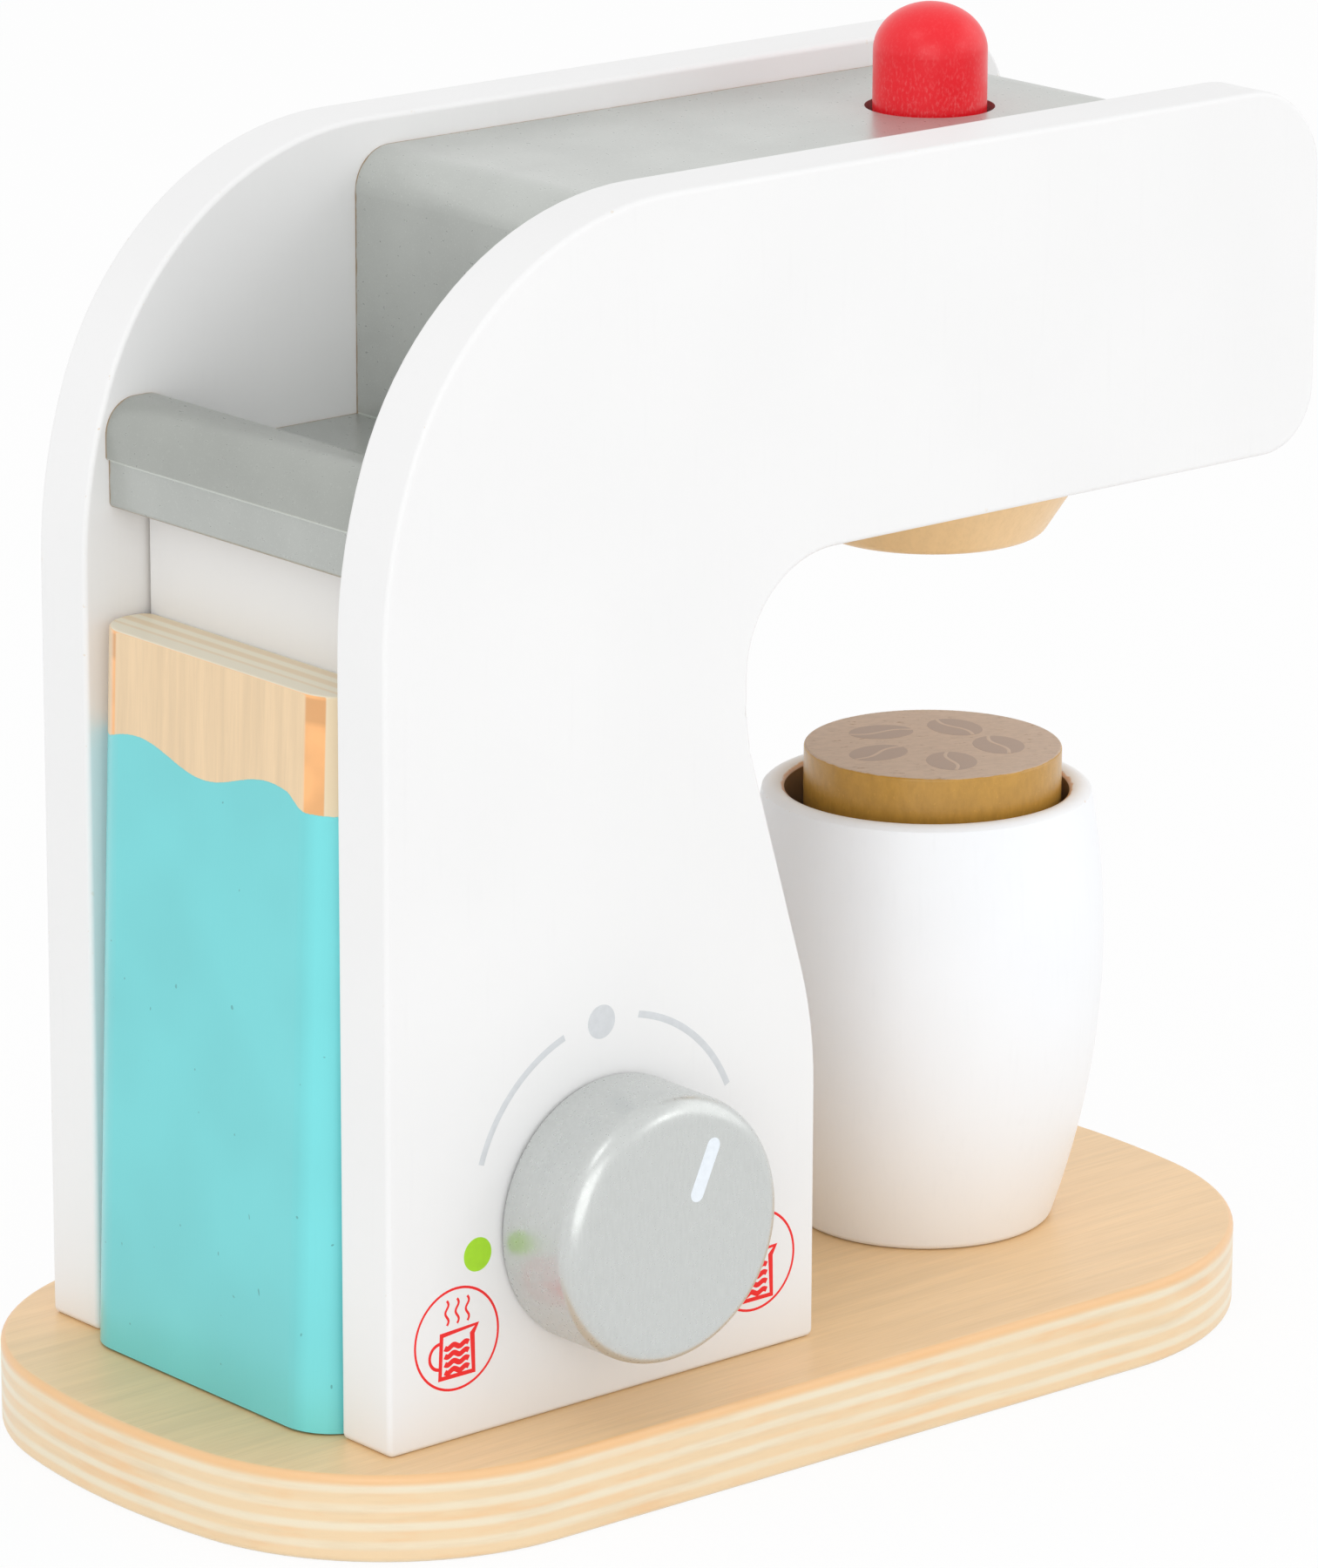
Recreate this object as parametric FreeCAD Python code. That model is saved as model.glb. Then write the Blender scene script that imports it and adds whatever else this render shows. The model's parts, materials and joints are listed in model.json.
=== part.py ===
import FreeCAD, Part
import math
import os

# Toy coffee maker of painted plywood and turned wood, in millimetres.
# X runs forward, from the water tank to the cup. The knob is on the -Y side and +Z is up.
# The origin is the middle of the base's underside.

# Base board, a little wider at the front than at the rear
base_length = 180.8
base_front_width = 102.2
base_rear_width = 98.2
base_thickness = 12.0
base_front_corner_radius = 41.0
base_rear_corner_radius = 36.5
base_front_end_radius = 121.0
base_rear_end_radius = 107.0
base_easing = 0.9

# Side panels
inner_width = 53.0
panel_thickness = 10.0
panel_height = 160.0
column_rear_inset = 18.7
head_overhang = 1.6
head_height = 51.0
foot_depth = 72.9
neck_depth = 60.6
foot_bend_height = 44.2
neck_straight_height = 23.1
crown_back_radius = 71.5
crown_back_turn_degrees = 20.0
crown_rear_radius = 46.2
crown_front_radius = 12.8
chin_radius = 9.0
throat_radius = 15.0
neck_bend_radius = 35.0
foot_bend_radius = 60.0
panel_corner_radius = 1.0
panel_easing = 0.7

# Column boards between the side panels
column_board_thickness = 6.0
column_rear_setback = 10.3
column_front_setback = 3.9
column_board_gap = 0.3
column_board_easing = 0.5

# Deck board with its lip
deck_thickness = 6.5
deck_recess = 4.5
deck_rear_setback = 4.3
deck_easing = 0.8
lip_width = 11.5
lip_height = 8.0
lip_overhang = 0.5
lip_top_radius = 4.8
lip_foot_radius = 0.4

# Hood block
hood_length = 111.1
hood_top_inset = 4.0
hood_front_setback = 7.0
hood_rear_radius = 5.8
hood_front_radius = 12.0
hood_lip_thickness = 8.0

# Dowels that hold the hood block between the side panels
dowel_radius = 3.0
dowel_length = 20.0
dowel_panel_depth = 6.0
dowel_end_inset = 14.0
dowel_fit = 0.05

# Button and its spring, whose axis is just behind the brew head's
button_axis_inset = 39.0
button_radius = 7.85
button_hole_clearance = 1.1
button_proud = 14.3
button_dome_height = 6.6
button_travel = 6.0
button_stop_gap = 0.2
collar_thickness = 4.0
collar_overlap = 1.65
collar_clearance = 0.6
collar_easing = 0.5
guide_length = 8.0
guide_easing = 0.8
spring_wire_radius = 0.5
spring_mean_radius = 6.5
spring_guide_clearance = 0.8
spring_end_gap = 0.05
spring_turns = 7

# Brew head
brew_axis_inset = 38.2
brew_drop = 12.6
brew_top_radius = 24.0
brew_mouth_radius = 15.9
brew_mouth_easing = 2.0
brew_screw_radius = 2.0
brew_screw_length = 16.0
brew_screw_head_radius = 3.6
brew_screw_head_height = 2.4

# Control knob
knob_axis_inset = 36.45
knob_axis_height = 26.5
knob_radius = 18.1
knob_thickness = 14.4
knob_front_radius = 2.1
knob_rear_easing = 0.6
knob_gap = 0.3
knob_bore_depth = 9.0

# Knob bearing: a flanged bush in the panel, with a screw and a washer behind it
bush_sleeve_radius = 4.2
bush_flange_radius = 7.0
bush_flange_thickness = 1.2
bush_flange_easing = 0.3
spindle_radius = 2.5
spindle_running_clearance = 0.05
spindle_tip_gap = 0.5
spindle_end_play = 0.15
washer_radius = 6.0
washer_thickness = 1.0
spindle_head_radius = 4.4
spindle_head_height = 2.8

# Screws up through the base into the side panels
base_screw_radius = 2.0
base_screw_clearance = 0.2
base_screw_pilot_clearance = 0.05
base_screw_head_radius = 3.9
base_screw_length = 32.0
base_screw_sink = 0.4
base_screw_rear_inset = 16.0
base_screw_front_inset = 14.0

# Rounding of the pan heads, and the cross recess in every screw head
pan_head_rounding = 0.8
recess_width = 1.0
recess_length = 3.6
recess_depth = 1.1

# Water tank, a loose board that leans on the column's rear board
tank_thickness = 10.0
tank_height = 98.6
tank_side_clearance = 0.3
tank_rear_corner_radius = 7.0
tank_front_corner_radius = 2.0
tank_lean_degrees = 2.0
tank_rest_gap = 0.1
tank_easing = 0.4

# Cup, which stands a little off the brew head's axis
cup_offset_x = -6.3
cup_offset_y = -7.2
cup_height = 62.5
cup_foot_radius = 18.1
cup_shoulder_radius = 21.65
cup_shoulder_height = 12.3
cup_belly_radius = 24.5
cup_belly_height = 30.0
cup_widest_radius = 24.9
cup_widest_height = 42.0
cup_rim_radius = 22.9
cup_rim_rounding = 0.7
cup_foot_easing = 1.2
cup_recess_radius = 19.8
cup_recess_depth = 9.0

# Coffee pad
pad_radius = 17.9
pad_proud = 5.5
pad_offset_x = 0.6
pad_offset_y = -0.5
pad_easing = 0.4

# Levels and faces that follow from the sizes above
base_top = base_thickness
inner_face = inner_width / 2
outer_face = inner_face + panel_thickness
panel_top = base_top + panel_height
column_back_x = column_rear_inset - base_length / 2
head_front_x = base_length / 2 + head_overhang
foot_front_x = column_back_x + foot_depth
neck_front_x = column_back_x + neck_depth
head_underside = panel_top - head_height
foot_bend_z = base_top + foot_bend_height
neck_bend_z = head_underside - neck_straight_height
deck_underside = head_underside + deck_recess
deck_top = deck_underside + deck_thickness
deck_rear_x = column_back_x + deck_rear_setback
hood_top = panel_top - hood_top_inset
hood_front_x = head_front_x - hood_front_setback
hood_rear_x = hood_front_x - hood_length
brew_axis_x = head_front_x - brew_axis_inset
button_axis_x = head_front_x - button_axis_inset
cup_x = brew_axis_x + cup_offset_x
cup_y = cup_offset_y
column_rear_x = column_back_x + column_rear_setback
column_front_x = neck_front_x - column_front_setback
knob_axis_x = column_back_x + knob_axis_inset
knob_axis_z = base_top + knob_axis_height
knob_rear_y = -outer_face - knob_gap
button_hole_radius = button_radius + button_hole_clearance
collar_radius = button_hole_radius + collar_overlap
spring_bore_radius = collar_radius + collar_clearance
collar_top = hood_top - hood_lip_thickness - button_stop_gap
collar_underside = collar_top - collar_thickness

UP = FreeCAD.Vector(0, 0, 1)
ALONG_Y = FreeCAD.Vector(0, 1, 0)
CENTRE = FreeCAD.Vector(0, 0, 0)
SAME_POINT = 1e-6
SAME_LEVEL = 1e-5
MOST_EASING = 0.9


def in_plan(x, y):
    """A point of a plan outline."""
    return FreeCAD.Vector(x, y, 0)


def in_side_view(x, z):
    """A point of an outline in the XZ plane."""
    return FreeCAD.Vector(x, 0, z)


def towards(start, end):
    """The unit vector from start to end."""
    return (end - start).normalize()


def corner_arc(before, corner, after, radius):
    """Start, middle and end of the arc that rounds a corner."""
    to_before = towards(corner, before)
    to_after = towards(corner, after)
    half_angle = to_before.getAngle(to_after) / 2
    reach = radius / math.tan(half_angle)
    bisector = towards(CENTRE, to_before + to_after)
    middle = corner + bisector * (radius / math.sin(half_angle) - radius)
    return corner + to_before * reach, middle, corner + to_after * reach


def rounded_wire(corners):
    """A closed wire through (point, radius) corners, with straight lines between the arcs."""
    pieces = []
    points = [point for point, radius in corners]
    count = len(corners)
    for index, (point, radius) in enumerate(corners):
        before = points[index - 1]
        after = points[(index + 1) % count]
        if radius > 0:
            pieces.append(corner_arc(before, point, after, radius))
        else:
            pieces.append((point, None, point))
    edges = []
    for index, (start, middle, end) in enumerate(pieces):
        if middle is not None:
            edges.append(Part.Arc(start, middle, end).toShape())
        next_start = pieces[(index + 1) % count][0]
        if (next_start - end).Length > SAME_POINT:
            edges.append(Part.LineSegment(end, next_start).toShape())
    return Part.Wire(edges)


def slab(corners, low, high, direction):
    """A board: an outline extruded from low to high along a direction."""
    face = Part.Face(rounded_wire(corners))
    face.translate(direction * low)
    return face.extrude(direction * (high - low))


def rod(start, direction, radius, length):
    """A plain cylinder."""
    return Part.makeCylinder(radius, length, start, direction)


def turned(corners, centre, direction=UP):
    """A turned solid: (radius, height) corners with roundings, spun about a line."""
    points = [(in_side_view(r, h), rounding) for r, h, rounding in corners]
    solid = Part.Face(rounded_wire(points)).revolve(CENTRE, UP, 360)
    turn = FreeCAD.Rotation(UP, direction)
    solid.Placement = FreeCAD.Placement(centre, turn)
    return solid


def edges_in_plane(shape, direction, level):
    """Edges that lie wholly in the plane at a level along a direction."""
    found = []
    for edge in shape.Edges:
        ends = [edge.valueAt(edge.FirstParameter), edge.valueAt(edge.LastParameter)]
        ends.append(edge.valueAt((edge.FirstParameter + edge.LastParameter) / 2))
        if all(abs(point.dot(direction) - level) < SAME_LEVEL for point in ends):
            found.append(edge)
    return found


def ease(shape, radius, direction, level):
    """Round every arris of a shape that lies at one level."""
    return shape.makeFillet(radius, edges_in_plane(shape, direction, level))


def cross_recess(face_centre, inward):
    """The cutter for the cross in a screw head."""
    arms = []
    for across in (0, 90):
        arm = Part.makeBox(recess_length, recess_width, recess_depth * 2)
        arm.translate(FreeCAD.Vector(-recess_length / 2, -recess_width / 2, -recess_depth))
        arm.rotate(CENTRE, UP, across)
        arms.append(arm)
    cutter = arms[0].fuse(arms[1])
    cutter.Placement = FreeCAD.Placement(face_centre, FreeCAD.Rotation(UP, inward))
    return cutter


def pan_head_screw(seat, direction, shank_radius, shank_length, head_radius, head_height):
    """A pan head screw: the head stands on its seat and the shank runs along the direction."""
    corners = [
        (0, -head_height, 0),
        (head_radius, -head_height, pan_head_rounding),
        (head_radius, 0, 0),
        (shank_radius, 0, 0),
        (shank_radius, shank_length - shank_radius, 0),
        (0, shank_length, 0),
    ]
    screw = turned(corners, seat, direction)
    return screw.cut(cross_recess(seat - direction * head_height, direction))


def base_screw_places():
    """Where the four screws enter the base: two along the middle of each side panel."""
    rear = column_back_x + base_screw_rear_inset
    front = foot_front_x - base_screw_front_inset
    middle = inner_face + panel_thickness / 2
    return [FreeCAD.Vector(x, y, 0) for x in (rear, front) for y in (-middle, middle)]


def countersunk_screw(place):
    """A wood screw whose flat head lies just inside the base's underside."""
    cone = base_screw_head_radius - base_screw_radius
    tip = base_screw_sink + base_screw_length
    corners = [
        (0, base_screw_sink, 0),
        (base_screw_head_radius, base_screw_sink, 0),
        (base_screw_radius, base_screw_sink + cone, 0),
        (base_screw_radius, tip - base_screw_radius, 0),
        (0, tip, 0),
    ]
    screw = turned(corners, place)
    return screw.cut(cross_recess(place + UP * base_screw_sink, UP))


def base_screw_hole(place):
    """The clearance hole in the base with its countersink."""
    wide = base_screw_head_radius + base_screw_clearance
    narrow = base_screw_radius + base_screw_clearance
    corners = [
        (0, -base_screw_sink, 0),
        (wide, -base_screw_sink, 0),
        (wide, base_screw_sink, 0),
        (narrow, base_screw_sink + wide - narrow, 0),
        (narrow, base_top, 0),
        (0, base_top, 0),
    ]
    return turned(corners, place)


def base_centres(way, width, corner_radius, end_radius):
    """Centres of the wide arc at one end of the base and of its corner arc on the +Y side."""
    end_centre = in_plan(way * (base_length / 2 - end_radius), 0)
    corner_y = width / 2 - corner_radius
    reach = math.sqrt((end_radius - corner_radius) ** 2 - corner_y ** 2)
    return end_centre, end_centre + in_plan(way * reach, corner_y)


def plan_angle(way):
    """The angle of a direction in plan."""
    return math.atan2(way.y, way.x)


def plan_arc(centre, radius, start_angle, end_angle):
    """Start, middle and end of an arc in plan."""
    angles = (start_angle, (start_angle + end_angle) / 2, end_angle)
    return [centre + in_plan(math.cos(a), math.sin(a)) * radius for a in angles]


def base_outline():
    """Two straight sides that spread forwards, four corner arcs and two wide end arcs."""
    front_end, front_corner = base_centres(
        1, base_front_width, base_front_corner_radius, base_front_end_radius)
    rear_end, rear_corner = base_centres(
        -1, base_rear_width, base_rear_corner_radius, base_rear_end_radius)
    along = front_corner - rear_corner
    spread = (base_rear_corner_radius - base_front_corner_radius) / along.Length
    side_angle = plan_angle(along) + math.acos(spread)
    front_arc = plan_arc(front_corner, base_front_corner_radius,
                         plan_angle(front_corner - front_end), side_angle)
    rear_arc = plan_arc(rear_corner, base_rear_corner_radius,
                        side_angle, plan_angle(rear_corner - rear_end))
    edges = []
    for across in (1, -1):
        front = [in_plan(p.x, across * p.y) for p in front_arc]
        rear = [in_plan(p.x, across * p.y) for p in rear_arc]
        edges.append(Part.Arc(*front).toShape())
        edges.append(Part.LineSegment(front[-1], rear[0]).toShape())
        edges.append(Part.Arc(*rear).toShape())
    for joint, tip_x in ((front_arc[0], base_length / 2), (rear_arc[-1], -base_length / 2)):
        other = in_plan(joint.x, -joint.y)
        edges.append(Part.Arc(joint, in_plan(tip_x, 0), other).toShape())
    return Part.Wire(Part.__sortEdges__(edges))


def make_base_board():
    """The plywood board that everything stands on."""
    board = Part.Face(base_outline()).extrude(UP * base_thickness)
    board = ease(board, base_easing, UP, base_top)
    board = ease(board, base_easing, UP, 0)
    for place in base_screw_places():
        board = board.cut(base_screw_hole(place))
    return board


def make_base_screws():
    """The four screws that hold the side panels to the base, as one group."""
    return Part.makeCompound([countersunk_screw(place) for place in base_screw_places()])


def crown_rear_corners():
    """The two corners whose arcs make the crown's rear curve, the wide one and the tight one."""
    turn = math.radians(crown_back_turn_degrees)
    rest = math.pi / 2 - turn
    run = crown_back_radius * math.tan(turn / 2) + crown_rear_radius * math.tan(rest / 2)
    drop = run * math.cos(turn)
    return [
        (in_side_view(column_back_x + run * math.sin(turn), panel_top), crown_rear_radius),
        (in_side_view(column_back_x, panel_top - drop), crown_back_radius),
    ]


def panel_corners():
    """The side panel's outline: foot, S-shaped neck, throat, chin, and rounded crown."""
    return [
        (in_side_view(column_back_x, base_top), panel_corner_radius),
        (in_side_view(foot_front_x, base_top), panel_corner_radius),
        (in_side_view(foot_front_x, foot_bend_z), foot_bend_radius),
        (in_side_view(neck_front_x, neck_bend_z), neck_bend_radius),
        (in_side_view(neck_front_x, head_underside), throat_radius),
        (in_side_view(head_front_x, head_underside), chin_radius),
        (in_side_view(head_front_x, panel_top), crown_front_radius),
    ] + crown_rear_corners()


def hood_dowel_places():
    """The X and Z places of the dowels on each side of the hood block."""
    middle_z = (deck_top + hood_top) / 2
    xs = (hood_rear_x + dowel_end_inset, hood_front_x - dowel_end_inset)
    return [in_side_view(x, middle_z) for x in xs]


def hood_dowel(place, side, clearance=0.0):
    """One dowel across the joint of panel and hood, or its hole when given a clearance."""
    start_y = inner_face + dowel_panel_depth + clearance
    start = place + ALONG_Y * side * start_y
    return rod(start, ALONG_Y * -side, dowel_radius + clearance, dowel_length + 2 * clearance)


def make_side_panel(side):
    """One side panel, with its dowel holes and screw pilots. side is -1 for the knob's side."""
    low, high = sorted((side * inner_face, side * outer_face))
    panel = slab(panel_corners(), low, high, ALONG_Y)
    easing = min(panel_easing, panel_corner_radius * MOST_EASING)
    panel = ease(panel, easing, ALONG_Y, low)
    panel = ease(panel, easing, ALONG_Y, high)
    for place in hood_dowel_places():
        panel = panel.cut(hood_dowel(place, side, dowel_fit))
    pilot = base_screw_radius + base_screw_pilot_clearance
    for place in base_screw_places():
        if place.y * side > 0:
            depth = base_screw_sink + base_screw_length + base_screw_clearance
            panel = panel.cut(rod(place, UP, pilot, depth))
    return panel


def make_knob_side_panel():
    """The near panel, bored for the knob's bush."""
    panel = make_side_panel(-1)
    hole = rod(knob_axis_point(-outer_face), ALONG_Y, bush_sleeve_radius, panel_thickness)
    return panel.cut(hole)


def make_plain_side_panel():
    """The far panel."""
    return make_side_panel(1)


def make_column_board(front_x):
    """One upright board between the side panels, from the base up to the deck."""
    half_width = inner_face - column_board_gap
    rear_x = front_x - column_board_thickness
    corners = [
        (in_plan(rear_x, -half_width), column_board_easing),
        (in_plan(front_x, -half_width), column_board_easing),
        (in_plan(front_x, half_width), column_board_easing),
        (in_plan(rear_x, half_width), column_board_easing),
    ]
    return slab(corners, base_top, deck_underside, UP)


def make_column_rear_panel():
    """The white board that closes the column at the rear; the tank leans on it."""
    return make_column_board(column_rear_x + column_board_thickness)


def make_column_front_panel():
    """The board that closes the column towards the cup."""
    return make_column_board(column_front_x)


def make_deck_board():
    """The grey board under the hood, which also makes the shelf at the rear."""
    corners = [
        (in_side_view(deck_rear_x, deck_underside), deck_easing),
        (in_side_view(hood_front_x, deck_underside), deck_easing),
        (in_side_view(hood_front_x, deck_top), 0),
        (in_side_view(deck_rear_x, deck_top), 0),
    ]
    board = slab(corners, -inner_face, inner_face, ALONG_Y)
    hole = rod(brew_point(deck_underside), UP, brew_screw_radius + dowel_fit, deck_thickness)
    return board.cut(hole)


def make_deck_lip():
    """The rounded strip glued along the rear edge of the deck."""
    rear = deck_rear_x - lip_overhang
    front = rear + lip_width
    top = deck_top + lip_height
    corners = [
        (in_side_view(rear, deck_top), lip_foot_radius),
        (in_side_view(front, deck_top), 0),
        (in_side_view(front, top), lip_top_radius),
        (in_side_view(rear, top), lip_top_radius),
    ]
    return slab(corners, -inner_face, inner_face, ALONG_Y)


def brew_point(z):
    """A point on the brew head's axis."""
    return FreeCAD.Vector(brew_axis_x, 0, z)


def button_point(z):
    """A point on the button's axis."""
    return FreeCAD.Vector(button_axis_x, 0, z)


def make_hood_block():
    """The grey block between the side panels, bored from below for the button and spring."""
    corners = [
        (in_side_view(hood_rear_x, deck_top), 0),
        (in_side_view(hood_front_x, deck_top), 0),
        (in_side_view(hood_front_x, hood_top), hood_front_radius),
        (in_side_view(hood_rear_x, hood_top), hood_rear_radius),
    ]
    block = slab(corners, -inner_face, inner_face, ALONG_Y)
    bore_depth = hood_top - hood_lip_thickness - deck_top
    block = block.cut(rod(button_point(deck_top), UP, spring_bore_radius, bore_depth))
    block = block.cut(rod(button_point(deck_top), UP, button_hole_radius, hood_top - deck_top))
    for side in (-1, 1):
        for place in hood_dowel_places():
            block = block.cut(hood_dowel(place, side, dowel_fit))
    return block


def make_hood_dowels():
    """Two dowels on each side of the hood block, as one group."""
    return Part.makeCompound(
        [hood_dowel(place, side) for side in (-1, 1) for place in hood_dowel_places()])


def make_button():
    """The red button: a domed stem, a collar that keeps it in, and a guide for the spring."""
    apex = hood_top + button_proud
    shoulder = apex - button_dome_height
    guide = spring_mean_radius - spring_wire_radius - spring_guide_clearance
    guide_end = collar_underside - guide_length
    corners = [
        (0, guide_end, 0),
        (guide, guide_end, guide_easing),
        (guide, collar_underside, 0),
        (collar_radius, collar_underside, collar_easing),
        (collar_radius, collar_top, collar_easing),
        (button_radius, collar_top, 0),
        (button_radius, shoulder, 0),
        (0, shoulder, 0),
    ]
    stem = turned(corners, button_point(0))
    upper_half = Part.makeSphere(button_radius, CENTRE, UP, 0, 90, 360)
    flatten = FreeCAD.Matrix()
    flatten.scale(1, 1, button_dome_height / button_radius)
    dome = upper_half.transformGeometry(flatten)
    dome.translate(button_point(shoulder))
    return stem.fuse(dome).removeSplitter()


def helix_point(angle, rise):
    """A point of the spring's centre line, from its lower end."""
    low = deck_top + spring_wire_radius + spring_end_gap
    return FreeCAD.Vector(button_axis_x + spring_mean_radius * math.cos(angle),
                          spring_mean_radius * math.sin(angle), low + rise * angle)


def least_coil_gap(rise):
    """The least space between the spring's turns, measured on points of its centre line."""
    per_turn = 24
    points = [helix_point(step * 2 * math.pi / per_turn, rise)
              for step in range(per_turn * spring_turns + 1)]
    nearest = min((points[later] - points[step]).Length
                  for step in range(len(points))
                  for later in range(step + per_turn // 2, len(points)))
    return nearest - 2 * spring_wire_radius


def helix_tangent(angle, rise):
    """The unit direction of the spring's centre line."""
    return FreeCAD.Vector(-spring_mean_radius * math.sin(angle),
                          spring_mean_radius * math.cos(angle), rise).normalize()


def tangent_arc(start, control, end):
    """The arc from start to end whose end tangents meet at the control point."""
    chord_middle = (start + end) / 2
    half_chord = (end - start).Length / 2
    reach = (control - start).Length
    half_turn = math.acos(half_chord / reach)
    height = half_chord * math.tan(half_turn / 2)
    middle = chord_middle + towards(chord_middle, control) * height
    return Part.Arc(start, middle, end).toShape()


def biarc(start, start_way, end, end_way):
    """Two arcs that join two points with the given directions."""
    chord = end - start
    both = start_way + end_way
    squared = both.dot(both) - 4
    linear = -2 * chord.dot(both)
    constant = chord.dot(chord)
    root = math.sqrt(linear ** 2 - 4 * squared * constant)
    reach = max((-linear - root) / (2 * squared), (-linear + root) / (2 * squared))
    first = start + start_way * reach
    second = end - end_way * reach
    joint = (first + second) / 2
    return [tangent_arc(start, first, joint), tangent_arc(joint, second, end)]


def make_button_spring():
    """The compression spring between the deck and the button's collar."""
    low = deck_top + spring_wire_radius + spring_end_gap
    high = collar_underside - spring_wire_radius - spring_end_gap
    quarter = math.pi / 2
    steps = 4 * spring_turns
    rise = (high - low) / (steps * quarter)
    edges = []
    for step in range(steps):
        a = step * quarter
        b = a + quarter
        edges += biarc(helix_point(a, rise), helix_tangent(a, rise),
                       helix_point(b, rise), helix_tangent(b, rise))
    path = Part.Wire(edges)
    circle = Part.Circle(helix_point(0, rise), helix_tangent(0, rise), spring_wire_radius)
    section = Part.Wire([circle.toShape()])
    print("spring: least gap between turns %.2f mm" % least_coil_gap(rise))
    return path.makePipeShell([section], True, False)


def make_brew_head():
    """The turned piece over the cup: a cone that widens upwards, screwed to the deck."""
    mouth = head_underside - brew_drop
    corners = [
        (0, mouth, 0),
        (brew_mouth_radius, mouth, brew_mouth_easing),
        (brew_top_radius, head_underside, 0),
        (brew_top_radius, deck_underside, 0),
        (0, deck_underside, 0),
    ]
    head = turned(corners, brew_point(0))
    depth = brew_screw_length - deck_thickness + dowel_fit
    pilot = rod(brew_point(deck_underside), -UP, brew_screw_radius + dowel_fit, depth)
    return head.cut(pilot)


def make_brew_head_screw():
    """The screw down through the deck into the brew head, inside the spring's bore."""
    return pan_head_screw(brew_point(deck_top), -UP, brew_screw_radius, brew_screw_length,
                          brew_screw_head_radius, brew_screw_head_height)


def knob_axis_point(y):
    """A point on the knob's axis."""
    return FreeCAD.Vector(knob_axis_x, y, knob_axis_z)


def make_knob():
    """The round control knob, with a blind bore for its screw."""
    bore = spindle_radius
    corners = [
        (bore, 0, 0),
        (knob_radius, 0, knob_rear_easing),
        (knob_radius, knob_thickness, knob_front_radius),
        (0, knob_thickness, 0),
        (0, knob_bore_depth, 0),
        (bore, knob_bore_depth, 0),
    ]
    return turned(corners, knob_axis_point(knob_rear_y), -ALONG_Y)


def make_knob_bush():
    """The flanged plastic bush pressed into the panel from inside the column."""
    bore = spindle_radius + spindle_running_clearance
    corners = [
        (bore, -bush_flange_thickness, 0),
        (bush_flange_radius, -bush_flange_thickness, bush_flange_easing),
        (bush_flange_radius, 0, 0),
        (bush_sleeve_radius, 0, 0),
        (bush_sleeve_radius, panel_thickness, 0),
        (bore, panel_thickness, 0),
    ]
    return turned(corners, knob_axis_point(-inner_face), -ALONG_Y)


def make_knob_washer():
    """The washer between the bush's flange and the screw's head."""
    seat_y = -inner_face + bush_flange_thickness + spindle_end_play
    bore = spindle_radius + spindle_running_clearance
    corners = [
        (bore, 0, 0),
        (washer_radius, 0, 0),
        (washer_radius, washer_thickness, 0),
        (bore, washer_thickness, 0),
    ]
    return turned(corners, knob_axis_point(seat_y), ALONG_Y)


def make_knob_screw():
    """The screw that the knob turns on, driven from inside the column."""
    seat_y = -inner_face + bush_flange_thickness + spindle_end_play + washer_thickness
    tip_y = knob_rear_y - knob_bore_depth + spindle_tip_gap
    return pan_head_screw(knob_axis_point(seat_y), -ALONG_Y, spindle_radius, seat_y - tip_y,
                          spindle_head_radius, spindle_head_height)


def make_water_tank():
    """The loose tank board: it stands on the base and leans on the column's rear board."""
    half_width = inner_face - tank_side_clearance
    corners = [
        (in_plan(0, -half_width), tank_front_corner_radius),
        (in_plan(0, half_width), tank_front_corner_radius),
        (in_plan(-tank_thickness, half_width), tank_rear_corner_radius),
        (in_plan(-tank_thickness, -half_width), tank_rear_corner_radius),
    ]
    board = slab(corners, 0, tank_height, UP)
    board = ease(board, tank_easing, UP, tank_height)
    lean = math.radians(tank_lean_degrees)
    top_front_x = column_rear_x - tank_rest_gap
    foot_front = FreeCAD.Vector(top_front_x - tank_height * math.sin(lean), 0, base_top)
    board.Placement = FreeCAD.Placement(
        foot_front, FreeCAD.Rotation(ALONG_Y, tank_lean_degrees))
    return board


def make_cup():
    """The turned cup, with a recess under its rim for the pad."""
    rim = cup_height - cup_rim_rounding
    recess_floor = cup_height - cup_recess_depth
    wall_points = [
        (cup_foot_radius, 0),
        (cup_shoulder_radius, cup_shoulder_height),
        (cup_belly_radius, cup_belly_height),
        (cup_widest_radius, cup_widest_height),
        (cup_rim_radius, rim),
    ]
    wall = Part.BSplineCurve()
    wall.interpolate([in_side_view(r, h) for r, h in wall_points])
    rim_middle = (cup_rim_radius + cup_recess_radius) / 2
    lip = Part.Arc(in_side_view(cup_rim_radius, rim), in_side_view(rim_middle, cup_height),
                   in_side_view(cup_recess_radius, rim))
    line_points = [
        in_side_view(cup_recess_radius, rim),
        in_side_view(cup_recess_radius, recess_floor),
        in_side_view(0, recess_floor),
        in_side_view(0, 0),
        in_side_view(cup_foot_radius, 0),
    ]
    edges = [wall.toShape(), lip.toShape()]
    for start, end in zip(line_points, line_points[1:]):
        edges.append(Part.LineSegment(start, end).toShape())
    profile = Part.Face(Part.Wire(Part.__sortEdges__(edges)))
    cup = profile.revolve(CENTRE, UP, 360)
    cup = ease(cup, cup_foot_easing, UP, 0)
    cup.translate(FreeCAD.Vector(cup_x, cup_y, base_top))
    return cup


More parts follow.
